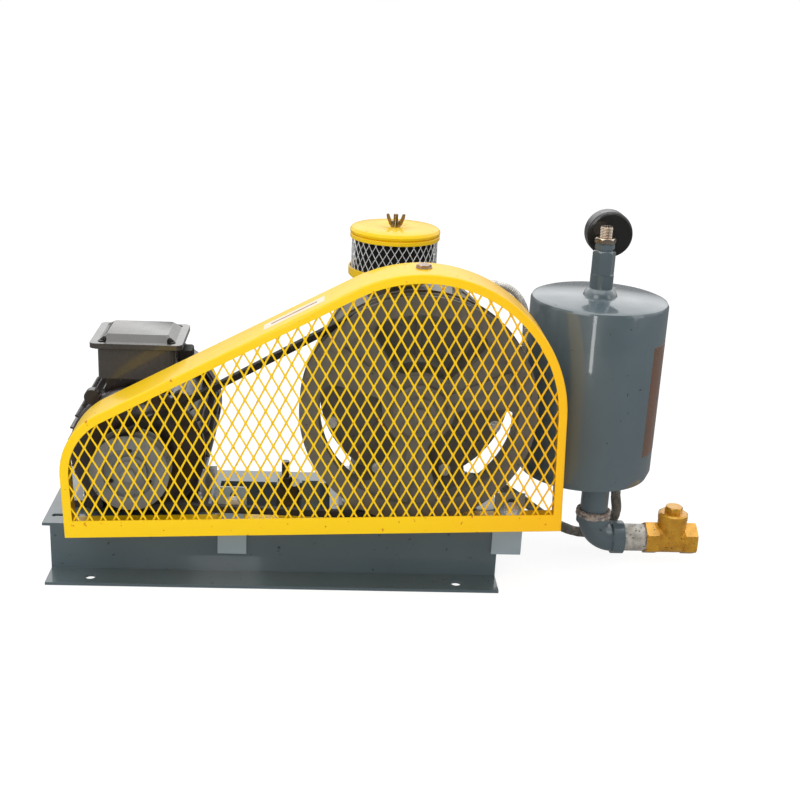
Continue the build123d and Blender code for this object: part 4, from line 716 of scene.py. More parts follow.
# ---------------------------------------------------------------- belt guard
@dataclass
class BeltGuard(SubAssembly):
    """Sheet hood with its lip, and the diamond grille behind it."""

    pivot: tuple[float, float] = (50.0 * MM, 90.4 * MM)
    tilt: float = 2.2
    left: float = -262.0 * MM
    bottom: float = 90.4 * MM
    corner: float = 90.0 * MM
    slope: float = 26.2
    hood_radius: float = 182.5 * MM
    blower_axis: tuple[float, float] = (177.0 * MM, 250.0 * MM)
    tuck: float = 4.0 * MM
    bend_radius: float = 2.6 * MM
    diamond: tuple[float, float] = (16.5 * MM, 30.2 * MM)
    phase: tuple[float, float] = (-0.6 * MM, -2.6 * MM)
    strand_width: float = 2.0 * MM
    strand_thickness: float = 1.2 * MM
    label_reach: tuple[float, float] = (36.0 * MM, 110.0 * MM)
    label_y: tuple[float, float] = (-145.0 * MM, -121.0 * MM)
    label_rise: float = 0.15 * MM
    line_margin: float = 10.2 * MM
    strand_lean: float = 24.0
    strand_step: float = 1.55 * MM
    knuckle_swell: float = 0.45
    knuckle_sharpness: float = 6.0
    line_samples: int = 600
    fold_steps: int = 5
    head_spread: float = 1.28
    head_flatten: float = 0.62

    def __post_init__(self) -> None:
        """Name the group's nodes and find the hood's centre in the guard's own frame."""
        self.refined = {"guard_frame": ("guard_yellow", 0.5), "guard_bolts": ("zinc", 0.3)}
        turn = math.radians(self.tilt)
        dx = self.blower_axis[0] - self.pivot[0]
        dz = self.blower_axis[1] - self.pivot[1]
        self.hood = (self.pivot[0] + dx * math.cos(turn) + dz * math.sin(turn),
                     self.pivot[1] - dx * math.sin(turn) + dz * math.cos(turn))
        lowest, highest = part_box("guard_grille")
        self.plane = (lowest.y + highest.y) / 2

    def detail(self) -> None:
        """Round the hood's bend, weave the grille and lay the bare label on the hood."""
        self.bend()
        self.grille()
        self.label()
        self.top_bolt()

    def bend(self) -> None:
        """Round the sheet where the hood folds into its front lip."""
        mesh = self.pieces["guard_frame"].data
        front = min(vertex.co.y for vertex in mesh.vertices)
        middle = Vector((self.pivot[0], front, self.middle))

        def on_fold(edge: bmesh.types.BMEdge) -> bool:
            """Whether an edge lies on the outer front fold."""
            in_front = all(vertex.co.y < front + 0.01 * MM for vertex in edge.verts)
            flat = sum(abs(face.normal.y) > 0.99 for face in edge.link_faces)
            return in_front and flat == 1 and faces_away(edge, middle)

        round_edges(mesh, self.bend_radius, self.fold_steps, on_fold)

    def top_bolt(self) -> None:
        """Give the bolt on top of the hood its wide flat head and its browner plating."""
        bolts = self.pieces["guard_bolts"].data
        bolts.materials.append(self.shop.palette.of("copper_zinc"))
        for face in bolts.polygons:
            face.material_index = int(face.center.z > self.blower_axis[1])
        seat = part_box("guard_frame")[1].z
        head = [vertex for vertex in bolts.vertices if vertex.co.z > seat - 0.3 * MM]
        middle = sum((vertex.co for vertex in head), Vector()) / len(head)
        for vertex in head:
            vertex.co.x = middle.x + (vertex.co.x - middle.x) * self.head_spread
            vertex.co.y = middle.y + (vertex.co.y - middle.y) * self.head_spread
            vertex.co.z = min(vertex.co.z, seat + (vertex.co.z - seat) * self.head_flatten)

    def hang(self, mesh: bpy.types.Mesh) -> None:
        """Turn a mesh from the guard's own frame to the way the guard hangs."""
        px, pz = self.pivot
        mesh.transform(Matrix.Translation((px, 0, pz)) @ Matrix.Rotation(-math.radians(self.tilt), 4, "Y")
                       @ Matrix.Translation((-px, 0, -pz)))

    def label(self) -> None:
        """Lay a bare strip with one thin line on the hood's slope."""
        slope = math.radians(self.slope)
        crest = (self.hood[0] - self.hood_radius * math.sin(slope),
                 self.hood[1] + self.hood_radius * math.cos(slope))
        layers = (("guard_label", "bare_label", 0.0, self.label_rise),
                  ("guard_label_line", "label_line", self.line_margin, 1.6 * self.label_rise))
        for name, finish, margin, rise in layers:
            near, far = (run / math.cos(slope) for run in self.label_reach)
            low, high = self.label_y
            points = []
            for lift in (-0.1 * MM, rise):
                for along, y in ((near + margin, low + margin), (far - margin, low + margin),
                                 (far - margin, high - margin), (near + margin, high - margin)):
                    points.append((crest[0] - along * math.cos(slope) - lift * math.sin(slope), y,
                                   crest[1] - along * math.sin(slope) + lift * math.cos(slope)))
            strip = solid(points, list(BLOCK_FACES), name)
            self.hang(strip)
            self.shop.place(strip, name, finish, "guard_yellow")

    def inside(self, x: float, z: float) -> bool:
        """Whether a place in the guard's own frame lies within its outline."""
        hood_x, hood_z = self.hood
        radius = self.hood_radius - self.tuck
        slope = math.radians(self.slope)
        left = self.left + self.tuck
        crest_x = hood_x - radius * math.sin(slope)
        crest_z = hood_z + radius * math.cos(slope)
        if z < self.bottom + self.tuck or x < left or x > hood_x + radius:
            return False
        if x > crest_x and z > hood_z:
            return math.hypot(x - hood_x, z - hood_z) <= radius
        if x <= crest_x and z > crest_z - (crest_x - x) * math.tan(slope):
            return False
        corner = self.corner - self.tuck
        peak = crest_z - (crest_x - left) * math.tan(slope)
        run = corner * math.tan((math.pi / 2 - slope) / 2)
        centre = (left + corner, peak - run)
        dx, dz = x - centre[0], z - centre[1]
        past_knee = dz > 0 and dx * math.cos(slope) + dz * math.sin(slope) < 0
        return not past_knee or math.hypot(dx, dz) <= corner

    def grille(self) -> None:
        """Weave the diamond grille from flat leaning strands that swell where they meet."""
        material = self.shop.palette.of("guard_yellow")
        strands = self.strand_lines()
        loom = Loom("diamond_grille")
        step = loom.size("Strand Step", self.strand_step)
        width = loom.size("Strand Width", self.strand_width)
        thickness = loom.size("Strand Thickness", self.strand_thickness)
        lean = loom.size("Strand Lean", math.radians(self.strand_lean))
        rows = loom.size("Half Diamond Height", self.diamond[1] / 2)
        swell = loom.size("Knuckle Swell", self.knuckle_swell)
        middle = loom.size("Middle Height", self.middle + self.phase[1])
        lines = loom.add("GeometryNodeMeshToCurve", {"Mesh": loom.source})
        fine = loom.stepped(lines.outputs[0], step)
        place = loom.add("GeometryNodeInputPosition").outputs[0]
        height = loom.add("ShaderNodeSeparateXYZ", {0: place}).outputs["Z"]
        row = loom.math("DIVIDE", loom.math("SUBTRACT", height, middle), rows)
        wave = loom.math("COSINE", loom.math("MULTIPLY", row, 2 * math.pi))
        knot = loom.math("POWER", loom.math("MAXIMUM", wave, 0.0), self.knuckle_sharpness)
        scale = loom.math("ADD", 1.0, loom.math("MULTIPLY", knot, swell))
        upright = loom.upright(fine, "Z_UP")
        leaning = loom.add("GeometryNodeSetCurveTilt", {"Curve": upright, "Tilt": lean})
        profile = loom.add("GeometryNodeCurvePrimitiveQuadrilateral", {"Width": thickness, "Height": width})
        strand = loom.sweep(leaning.outputs[0], profile, scale)
        piece = loom.weave(strands, strand, "guard_grille_strands", material, smooth=False)
        self.hang(piece.data)
        self.shop.settle(piece, STATIC, "guard_yellow", "guard_grille")

    @property
    def middle(self) -> float:
        """Height of the grille's middle in the guard's own frame."""
        return (self.bottom + self.hood[1] + self.hood_radius) / 2

    def strand_lines(self) -> bpy.types.Mesh:
        """Draw one line for each strand, cut to the guard's outline."""
        pitch_x, pitch_z = self.diamond
        width = self.hood[0] + self.hood_radius - self.left
        height = self.hood[1] + self.hood_radius - self.bottom
        count = int((width + height * pitch_x / pitch_z) / pitch_x)
        points: list[Point] = []
        edges: list[tuple[int, int]] = []
        for hand in Hand:
            for index in range(count + 1):
                middle_x = self.left + width / 2 + (index - count / 2) * pitch_x + self.phase[0]
                inside = []
                for sample in range(self.line_samples + 1):
                    z = self.middle + height * (sample / self.line_samples - 0.5)
                    x = middle_x + hand.value * (z - self.middle - self.phase[1]) * pitch_x / pitch_z
                    if self.inside(x, z):
                        inside.append((x, self.plane + hand.value * 0.1 * MM, z))
                    elif len(inside) > 1:
                        break
                    else:
                        inside = []
                if len(inside) > 6:
                    points += [inside[0], inside[-1]]
                    edges.append((len(points) - 2, len(points) - 1))
        mesh = bpy.data.meshes.new("strand_lines")
        mesh.from_pydata(points, edges, [])
        return mesh


# ---------------------------------------------------------------- motor
@dataclass
class Motor(SubAssembly):
    """Finned motor with its terminal box and fan cover."""

    corner_radius: float = 8.0 * MM
    corner_steps: int = 6
    least_corner: float = 20 * MM

    def __post_init__(self) -> None:
        """Name the group's nodes and their finishes."""
        self.refined = {"motor_frame": ("motor_black", 0.7), "motor_front_shield": ("motor_black", 0.9),
                        "motor_rear_shield": ("motor_black", 0.6), "motor_fan_cover": ("motor_black", 0.6),
                        "terminal_box": ("lid_black", 0.9), "terminal_lid": ("lid_black", 0.9),
                        "terminal_lid_screws": ("dark_screw", 0.4), "cable_gland": ("black_plastic", 0.5),
                        "motor_foot_bolts": ("zinc", 0.3), "motor_shaft": ("steel", 0.4),
                        "motor_cooling_fan": ("black_plastic", 0.3)}
        self.dressed = {"motor_bearings": "steel", "motor_stator": "laminations",
                        "motor_rotor": "laminations", "terminal_gasket": "rubber"}

    def detail(self) -> None:
        """Round the terminal box's upright corners."""
        mesh = self.pieces["terminal_box"].data
        lowest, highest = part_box("terminal_box")
        middle = (lowest + highest) / 2

        def upright_corner(edge: bmesh.types.BMEdge) -> bool:
            """Whether an edge is one of the box's outer upright corners."""
            start, end = (vertex.co for vertex in edge.verts)
            run = end - start
            at_end = abs(abs(start.x - middle.x) - (highest.x - lowest.x) / 2) < 0.1 * MM
            at_side = abs(abs(start.y - middle.y) - (highest.y - lowest.y) / 2) < 0.1 * MM
            return abs(run.z) > 0.99 * run.length and run.length > self.least_corner and at_end and at_side

        round_edges(mesh, self.corner_radius, self.corner_steps, upright_corner)


# ---------------------------------------------------------------- belt drive
@dataclass
class BeltDrive(SubAssembly):
    """Both pulleys, their end screws and the belt."""

    def __post_init__(self) -> None:
        """Name the group's nodes and their finishes."""
        self.refined = {"big_pulley": ("blower_grey", 1.0), "motor_pulley": ("pulley_grey", 0.8),
                        "drive_belt": ("rubber", 0.4), "big_pulley_screw": ("blower_grey", 0.5),
                        "motor_pulley_screw": ("pulley_grey", 0.5)}


# ---------------------------------------------------------------- blower
@dataclass
class Blower(SubAssembly):
    """Casing, covers, rotor and their bolts."""

    def __post_init__(self) -> None:
        """Name the group's nodes and their finishes."""
        self.refined = {"blower_cylinder": ("blower_grey", 1.0), "blower_front_cover": ("blower_grey", 0.8),
                        "blower_rear_cover": ("blower_grey", 0.8), "blower_cover_bolts": ("zinc", 0.2),
                        "blower_foot_bolts": ("zinc", 0.3), "blower_shaft": ("steel", 0.4)}
        self.dressed = {"blower_bearings": "steel", "blower_rotor": "steel", "rotor_vanes": "carbon"}


# ---------------------------------------------------------------- air filter
@dataclass
class AirFilter(SubAssembly):
    """Tray, foam ring, expanded-metal screen, cap and wing nut."""

    bars: int = 35
    screen_radius: float = 56.6 * MM
    wire: float = 0.58 * MM
    turns_of_step: float = 1.5
    skirt: float = 5.5 * MM
    points_up: int = 12
    wire_sides: int = 6
    hoop_inside: float = 55.2 * MM
    hoop_radius: float = 57.4 * MM
    skirt_radius: float = 59.4 * MM
    rolled_edge: float = 0.6 * MM

    def __post_init__(self) -> None:
        """Name the group's nodes and find the screen's axis."""
        # The stud and wing nut wear zinc with the yellow cap's reflection painted into its colour.
        self.refined = {"filter_base": ("guard_yellow", 0.7), "filter_cap": ("guard_yellow", 0.7),
                        "filter_stud": ("zinc_with_painted_cap_reflection", 0.2), "filter_wing_nut": ("zinc_with_painted_cap_reflection", 0.4)}
        self.dressed = {"filter_element": "foam"}
        lowest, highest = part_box("filter_screen")
        self.axis = (lowest + highest) / 2
        self.low = lowest.z
        self.high = highest.z

    def detail(self) -> None:
        """Weave the screen from strands that wind both ways between two hoops."""
        loom = Loom("filter_screen")
        radius = loom.size("Screen Radius", self.screen_radius)
        wire = loom.size("Wire Radius", self.wire)
        bars = loom.size("Bars", self.bars)
        twist = loom.size("Twist", 2 * math.pi / self.bars * self.turns_of_step * 2 / (self.high - self.low))
        foot = loom.size("Foot", self.low)
        head = loom.size("Head", self.high)
        start = loom.add("ShaderNodeCombineXYZ", {"X": radius, "Z": foot})
        end = loom.add("ShaderNodeCombineXYZ", {"X": radius, "Z": head})
        line = loom.add("GeometryNodeCurvePrimitiveLine", {"Start": start.outputs[0], "End": end.outputs[0]})
        fine = loom.add("GeometryNodeResampleCurve", {"Curve": line.outputs[0], "Count": self.points_up},
                        mode="COUNT")
        profile = loom.circle(self.wire_sides, wire)
        place = loom.add("GeometryNodeInputPosition").outputs[0]
        height = loom.add("ShaderNodeSeparateXYZ", {0: place}).outputs["Z"]
        joined = loom.add("GeometryNodeJoinGeometry")
        for hand in Hand:
            copies = loom.copies(fine.outputs[0], bars)
            climb = loom.math("MULTIPLY", loom.math("SUBTRACT", height, foot),
                              loom.math("MULTIPLY", twist, float(hand.value)))
            angle = loom.math("ADD", loom.share_of_turn(copies, bars), climb)
            turned = loom.add("ShaderNodeVectorRotate", {"Vector": place, "Angle": angle},
                              rotation_type="Z_AXIS")
            wound = loom.add("GeometryNodeSetPosition",
                             {"Geometry": copies.outputs[0], "Position": turned.outputs[0]})
            loom.feed(joined, {0: loom.sweep(wound.outputs[0], profile)})
        put = loom.add("GeometryNodeTransform",
                       {"Geometry": joined.outputs[0], "Translation": (self.axis.x, self.axis.y, 0.0)})
        piece = loom.weave(bpy.data.meshes.new("screen_seed"), put.outputs[0], "filter_screen_wires",
                           self.shop.palette.of("zinc"))
        self.shop.settle(piece, STATIC, "zinc", "filter_screen")
        self.hoop("filter_hoop", self.low + 2 * MM, 3 * MM, self.hoop_radius, "zinc", "zinc")
        self.hoop("filter_skirt", self.high - self.skirt / 2, self.skirt, self.skirt_radius, "guard_yellow",
                  "guard_yellow")

    def hoop(self, name: str, middle: float, height: float, outside: float, finish: str,
             slot: str) -> None:
        """Put one rolled ring round the screen.

        Args:
            name: Name of the ring.
            middle: Height of its middle.
            height: Its height.
            outside: Its outer radius.
            finish: Its finish.
            slot: The record's material slot.
        """
        low, high = middle - height / 2, middle + height / 2
        edge = self.rolled_edge
        inside = self.hoop_inside
        ring = lathe([(inside, low), (outside - edge, low), (outside, low + edge), (outside, high - edge),
                      (outside - edge, high), (inside, high)], name)
        ring.transform(Matrix.Translation((self.axis.x, self.axis.y, 0)))
        self.shop.place(ring, name, finish, slot)


# ---------------------------------------------------------------- tank
@dataclass
class Tank(SubAssembly):
    """Oil tank with its weld beads, bracket, discharge pipe and bare label."""

    axis_x: float = 422.0 * MM
    radius: float = 92.0 * MM
    bottom: float = 122.0 * MM
    outlet: tuple[float, float] = (437.0 * MM, -30.0 * MM)
    pipe_radius: float = 19.0 * MM
    label_angles: tuple[float, float] = (-46.0, 2.0)
    label_heights: tuple[float, float] = (168.0 * MM, 321.0 * MM)
    label_lift: float = 0.12 * MM
    label_steps: int = 24

    def __post_init__(self) -> None:
        """Name the group's nodes and their finishes."""
        self.refined = {"tank_shell": ("tank_grey", 0.6), "tank_bracket": ("tank_grey", 0.6),
                        "tank_bracket_bolts": ("zinc", 0.2), "discharge_pipe": ("tank_grey", 0.0)}

    def detail(self) -> None:
        """Add the outlet's weld bead and the label."""
        Bead("outlet_weld", (*self.outlet, self.bottom - 0.6 * MM), self.pipe_radius + 0.6 * MM,
             3.4 * MM).lay(self.shop, "tank_grey", "tank_grey")
        self.label()

    def label(self) -> None:
        """Wrap a bare foil label round the tank's side."""
        first, last = (math.radians(angle) for angle in self.label_angles)
        low, high = self.label_heights
        inner = self.radius - 0.05 * MM
        outer = self.radius + self.label_lift
        points = []
        for step in range(self.label_steps + 1):
            angle = first + (last - first) * step / self.label_steps
            for radius, z in ((inner, low), (outer, low), (outer, high), (inner, high)):
                points.append((self.axis_x + radius * math.cos(angle), radius * math.sin(angle), z))
        faces = [tuple(range(4)), tuple(range(len(points) - 4, len(points)))]
        for step in range(self.label_steps):
            base = step * 4
            faces += [(base + i, base + (i + 1) % 4, base + 4 + (i + 1) % 4, base + 4 + i) for i in range(4)]
        self.shop.place(solid(points, faces, "tank_label"), "tank_label", "aged_foil", "tank_grey")


# ---------------------------------------------------------------- outlet line
@dataclass
class OutletLine(SubAssembly):
    """Elbow, galvanised nipple and brass check valve."""

    outlet: tuple[float, float] = (437.0 * MM, -30.0 * MM)
    collar_z: float = 74.0 * MM
    height: float = 34.0 * MM
    valve_start: float = 512.0 * MM

    def __post_init__(self) -> None:
        """Name the group's nodes and their finishes."""
        self.refined = {"outlet_elbow": ("tank_grey", 1.6), "outlet_nipple": ("galvanised", 0.5),
                        "check_valve_body": ("brass", 0.7), "check_valve_bonnet": ("brass", 0.7),
                        "check_valve_flap": ("brass", 0.2)}

    def detail(self) -> None:
        """Squeeze sealant out of the elbow's upper joint and the valve's joint."""
        beads = (Bead("joint_sealant_upper", (*self.outlet, self.collar_z - 0.5 * MM), 20.8 * MM, 6.6 * MM,
                      unevenness=0.25),
                 Bead("joint_sealant_lower", (*self.outlet, self.collar_z - 5.0 * MM), 21.4 * MM, 5.2 * MM,
                      unevenness=0.3, seed=3),
                 Bead("valve_sealant", (self.valve_start, self.outlet[1], self.height), 18.6 * MM, 3.4 * MM,
                      along_x=True, unevenness=0.3, seed=5))
        for bead in beads:
            bead.lay(self.shop, "sealant", "galvanised")


# ---------------------------------------------------------------- relief valve and gauge
@dataclass
class ReliefValve(SubAssembly):
    """Relief valve on the tank's middle."""

    def __post_init__(self) -> None:
        """Name the group's nodes and their finishes."""
        self.refined = {"relief_valve_body": ("tank_grey", 0.5), "relief_adjuster": ("nickel", 0.4)}


@dataclass
class PressureGauge(SubAssembly):
    """Gauge that is read from the back of the set."""

    dial_radius: float = 28.0 * MM
    marks: int = 31
    sweep: float = 270.0
    numbers: int = 7
    digit_height: float = 4.6 * MM
    digit_depth: float = 0.04 * MM
    digit_reach: float = 0.64
    marks_end: float = 0.93
    major_every: int = 5
    major_mark: tuple[float, float] = (0.80, 0.35 * MM)
    minor_mark: tuple[float, float] = (0.86, 0.18 * MM)
    print_depth: float = 0.08 * MM

    def __post_init__(self) -> None:
        """Name the group's nodes and find the dial's middle."""
        self.refined = {"gauge_case": ("gauge_black", 0.6), "gauge_glass": ("glass", 0.0)}
        self.dressed = {"gauge_dial": "dial_white", "gauge_pointer": "dial_print"}
        lowest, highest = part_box("gauge_dial")
        self.centre = (lowest + highest) / 2
        self.face_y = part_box("gauge_pointer")[0].y - 1.0 * MM

    def detail(self) -> None:
        """Print the scale on the dial."""
        self.scale_marks()
        self.scale_numbers()

    def scale_marks(self) -> None:
        """Lay thin marks round the dial, longer at every fifth."""
        points: list[Point] = []
        faces: list[tuple[int, ...]] = []
        for index in range(self.marks):
            angle = math.radians(-self.sweep / 2 + self.sweep * index / (self.marks - 1))
            share, half = self.minor_mark if index % self.major_every else self.major_mark
            inner = self.dial_radius * share
            outer = self.dial_radius * self.marks_end
            base = len(points)
            for y in (self.face_y, self.face_y + self.print_depth):
                for radius, side in ((inner, -half), (inner, half), (outer, half), (outer, -half)):
                    x = self.centre.x - radius * math.sin(angle) - side * math.cos(angle)
                    z = self.centre.z + radius * math.cos(angle) - side * math.sin(angle)
                    points.append((x, y, z))
            faces += [tuple(base + i for i in quad) for quad in BLOCK_FACES]
        self.shop.place(solid(points, faces, "gauge_marks"), "gauge_marks", "dial_print", "gauge_black")

    def scale_numbers(self) -> None:
        """Set plain numbers inside the marks, upright for a reader at the back."""
        skin = bmesh.new()
        for index in range(self.numbers):
            angle = math.radians(-self.sweep / 2 + self.sweep * index / (self.numbers - 1))
            curve = bpy.data.curves.new("digit", "FONT")
            curve.body = str(index)
            curve.size = self.digit_height
            curve.align_x = "CENTER"
            curve.align_y = "CENTER"
            curve.extrude = self.digit_depth
            text = bpy.data.objects.new("digit", curve)
            mesh = bpy.data.meshes.new_from_object(text)
            reach = self.dial_radius * self.digit_reach
            place = Vector((self.centre.x - reach * math.sin(angle), self.face_y + self.digit_depth,
                            self.centre.z + reach * math.cos(angle)))
            mesh.transform(Matrix.Translation(place) @ Matrix.Rotation(math.pi, 4, "Z")
                           @ Matrix.Rotation(math.pi / 2, 4, "X"))
            skin.from_mesh(mesh)
            bpy.data.objects.remove(text)
        digits = bpy.data.meshes.new("gauge_numbers")
        skin.to_mesh(digits)
        skin.free()
        self.shop.place(digits, "gauge_numbers", "dial_print", "gauge_black")


# ---------------------------------------------------------------- oil hoses
@dataclass
class Hose:
    """Route of a hose, as the control points of its smooth line."""

    node: str
    points: list[Point]
    radius: float

    def line(self) -> list[Vector]:
        """Read the smooth line's points.

        Returns:
            Points along the hose's middle.
        """
        curve = bpy.data.curves.new(f"{self.node}_route", "CURVE")
        curve.dimensions = "3D"
        curve.resolution_u = 24
        spline = curve.splines.new("NURBS")
        spline.points.add(len(self.points) - 1)
        for knot, (x, y, z) in zip(spline.points, self.points):
            knot.co = (x * MM, y * MM, z * MM, 1.0)
        spline.order_u = 3
        spline.use_endpoint_u = True
        route = bpy.data.objects.new(f"{self.node}_route", curve)
        mesh = bpy.data.meshes.new_from_object(route)
        points = [vertex.co.copy() for vertex in mesh.vertices]
        bpy.data.objects.remove(route)
        bpy.data.curves.remove(curve)
        return points

    def line_mesh(self) -> bpy.types.Mesh:
        """Return the smooth line as a chain of edges."""
        points = [tuple(point) for point in self.line()]
        mesh = bpy.data.meshes.new(f"{self.node}_line")
        mesh.from_pydata(points, [(i, i + 1) for i in range(len(points) - 1)], [])
        return mesh

    def length(self) -> float:
        """Return the length of the smooth line."""
        line = self.line()
        return sum((b - a).length for a, b in zip(line, line[1:]))


@dataclass
class OilHoses(SubAssembly):
    """Corrugated upper hose and braided lower hose, with their ends."""

    upper: Hose = field(default_factory=lambda: Hose("oil_hose_upper", [
        (250, -15, 389), (281, -15, 389), (306, -15, 379), (321, -16, 356), (324, -18, 325), (323, -18, 280),
        (321, -18, 235), (318, -17, 192), (317, -16, 156), (309, -15, 128), (292, -15, 112), (268, -15, 112)],
        5.0 * MM))
    lower: Hose = field(default_factory=lambda: Hose("oil_hose_lower", [
        (478, 22, 103), (478, 22, 78), (485, 22, 46), (465, 19, 21), (430, 16, 17), (394, 13, 32),
        (362, 11, 55), (333, 10, 77), (305, 10, 92), (274, 10, 92)], 7.0 * MM))
    corrugation: float = 2.6 * MM
    corrugation_depth: float = 0.11
    braid_strands: int = 14
    braid_lead: float = 34.0 * MM
    braid_wave: float = 0.28 * MM
    braid_step: float = 1.4 * MM
    braid_cover: float = 0.9 * MM
    braid_depth: float = 0.65 * MM
    braid_strand: tuple[float, float] = (0.5 * MM, 1.5 * MM)
    grooves: tuple[float, ...] = (0.28, 0.52, 0.76)
    groove_half: float = 1.1 * MM
    groove_floor: float = 0.6 * MM
    groove_depth: float = 0.5 * MM
    sleeve_gap: float = 0.15 * MM
    sleeve_wall: float = 1.7 * MM
    sleeve_edge: float = 0.6 * MM
    ripple_steps: float = 6.0
    hose_sides: int = 20
    core_sides: int = 24
    sleeve: float = 15.0 * MM

    def __post_init__(self) -> None:
        """Name the group's nodes and their finishes."""
        self.refined = {"hose_fittings": ("galvanised", 0.4)}

    def detail(self) -> None:
        self.declare(self.corrugated(self.upper), self.upper)
        self.declare(self.braided(self.lower), self.lower)
        self.ferrules(self.upper)
        self.ferrules(self.lower)

    def ferrules(self, hose: Hose) -> None:
        """Crimp a dark sleeve on each end of a hose."""
        line = hose.line()
        for end, start, ahead in (("start", line[0], line[4]), ("end", line[-1], line[-5])):
            inner, outer = hose.radius + self.sleeve_gap, hose.radius + self.sleeve_wall
            profile = [(inner, 0.0), (outer, 0.0)]
            for groove in self.grooves:
                middle = groove * self.sleeve
                floor = outer - self.groove_depth
                profile += [(outer, middle - self.groove_half), (floor, middle - self.groove_floor),
                            (floor, middle + self.groove_floor), (outer, middle + self.groove_half)]
            profile += [(outer, self.sleeve - self.sleeve_edge), (outer - self.sleeve_edge, self.sleeve),
                        (inner, self.sleeve)]
            name = f"{hose.node}_sleeve_{end}"
            sleeve = lathe(profile, name, steps=48)
            turn = (ahead - start).to_track_quat("Z", "Y").to_matrix().to_4x4()
            sleeve.transform(Matrix.Translation(start) @ turn)
            self.shop.place(sleeve, name, "crimp", "galvanised")

    def declare(self, piece: bpy.types.Object, hose: Hose) -> None:
        """Settle a hose and hide the CAD node that it stands for."""
        self.shop.settle(piece, STATIC, "braid", hose.node)
        line = hose.line()
        hose.length()

    def corrugated(self, hose: Hose) -> bpy.types.Object:
        """Sweep a tube whose radius ripples along its length."""
        loom = Loom("corrugated_hose")
        radius = loom.size("Hose Radius", hose.radius)
        pitch = loom.size("Corrugation", self.corrugation)
        depth = loom.size("Depth", self.corrugation_depth)
        line = loom.add("GeometryNodeMeshToCurve", {"Mesh": loom.source})
        fine = loom.stepped(line.outputs[0], loom.math("DIVIDE", pitch, self.ripple_steps))
        along = loom.add("GeometryNodeSplineParameter").outputs["Length"]
        wave = loom.math("SINE", loom.math("MULTIPLY", loom.math("DIVIDE", along, pitch), 2 * math.pi))
        dip = loom.math("MULTIPLY", loom.math("SUBTRACT", 1.0, wave), loom.math("MULTIPLY", depth, 0.5))
        tube = loom.sweep(fine, loom.circle(self.hose_sides, radius), loom.math("SUBTRACT", 1.0, dip))
        return loom.weave(hose.line_mesh(), tube, "oil_hose_corrugated", self.shop.palette.of("braid"))

    def braided(self, hose: Hose) -> bpy.types.Object:
        """Sweep a core and wind flat strands over and under each other round it."""
        loom = Loom("braided_hose")
        radius = loom.size("Hose Radius", hose.radius)
        strands = loom.size("Strands", self.braid_strands)
        lead = loom.size("Lead", self.braid_lead)
        wave = loom.size("Wave", self.braid_wave)
        line = loom.add("GeometryNodeMeshToCurve", {"Mesh": loom.source})
        fine = loom.stepped(line.outputs[0], self.braid_step)
        along = loom.add("GeometryNodeSplineParameter").outputs["Length"]
        core = loom.circle(self.core_sides, loom.math("SUBTRACT", radius, self.braid_cover))
        joined = loom.add("GeometryNodeJoinGeometry")
        loom.feed(joined, {0: loom.sweep(fine, core)})
        tangent = loom.add("GeometryNodeInputTangent").outputs[0]
        normal = loom.add("GeometryNodeInputNormal").outputs[0]
        side = loom.vector("CROSS_PRODUCT", tangent, normal)
        thick, wide = self.braid_strand
        flat = loom.add("GeometryNodeCurvePrimitiveQuadrilateral", {"Width": thick, "Height": wide})
        laps = loom.math("DIVIDE", along, lead)
        for hand in Hand:
            copies = loom.copies(fine, strands)
            wound = loom.math("MULTIPLY", laps, 2 * math.pi * hand.value)
            angle = loom.math("ADD", loom.share_of_turn(copies, strands), wound)
            swing = loom.math("SINE", loom.math("MULTIPLY", laps, 2 * math.pi * self.braid_strands))
            weave = loom.math("MULTIPLY", swing, loom.math("MULTIPLY", wave, float(hand.value)))
            reach = loom.math("ADD", loom.math("SUBTRACT", radius, self.braid_depth), weave)
            across = loom.stretched(normal, loom.math("MULTIPLY", reach, loom.math("COSINE", angle)))
            over = loom.stretched(side, loom.math("MULTIPLY", reach, loom.math("SINE", angle)))
            spiral = loom.add("GeometryNodeSetPosition",
                              {"Geometry": copies.outputs[0], "Offset": loom.vector("ADD", across, over)})
            upright = loom.upright(spiral.outputs[0], "MINIMUM_TWIST")
            loom.feed(joined, {0: loom.sweep(upright, flat)})
        return loom.weave(hose.line_mesh(), joined.outputs[0], "oil_hose_braided",
                          self.shop.palette.of("dark_braid"))


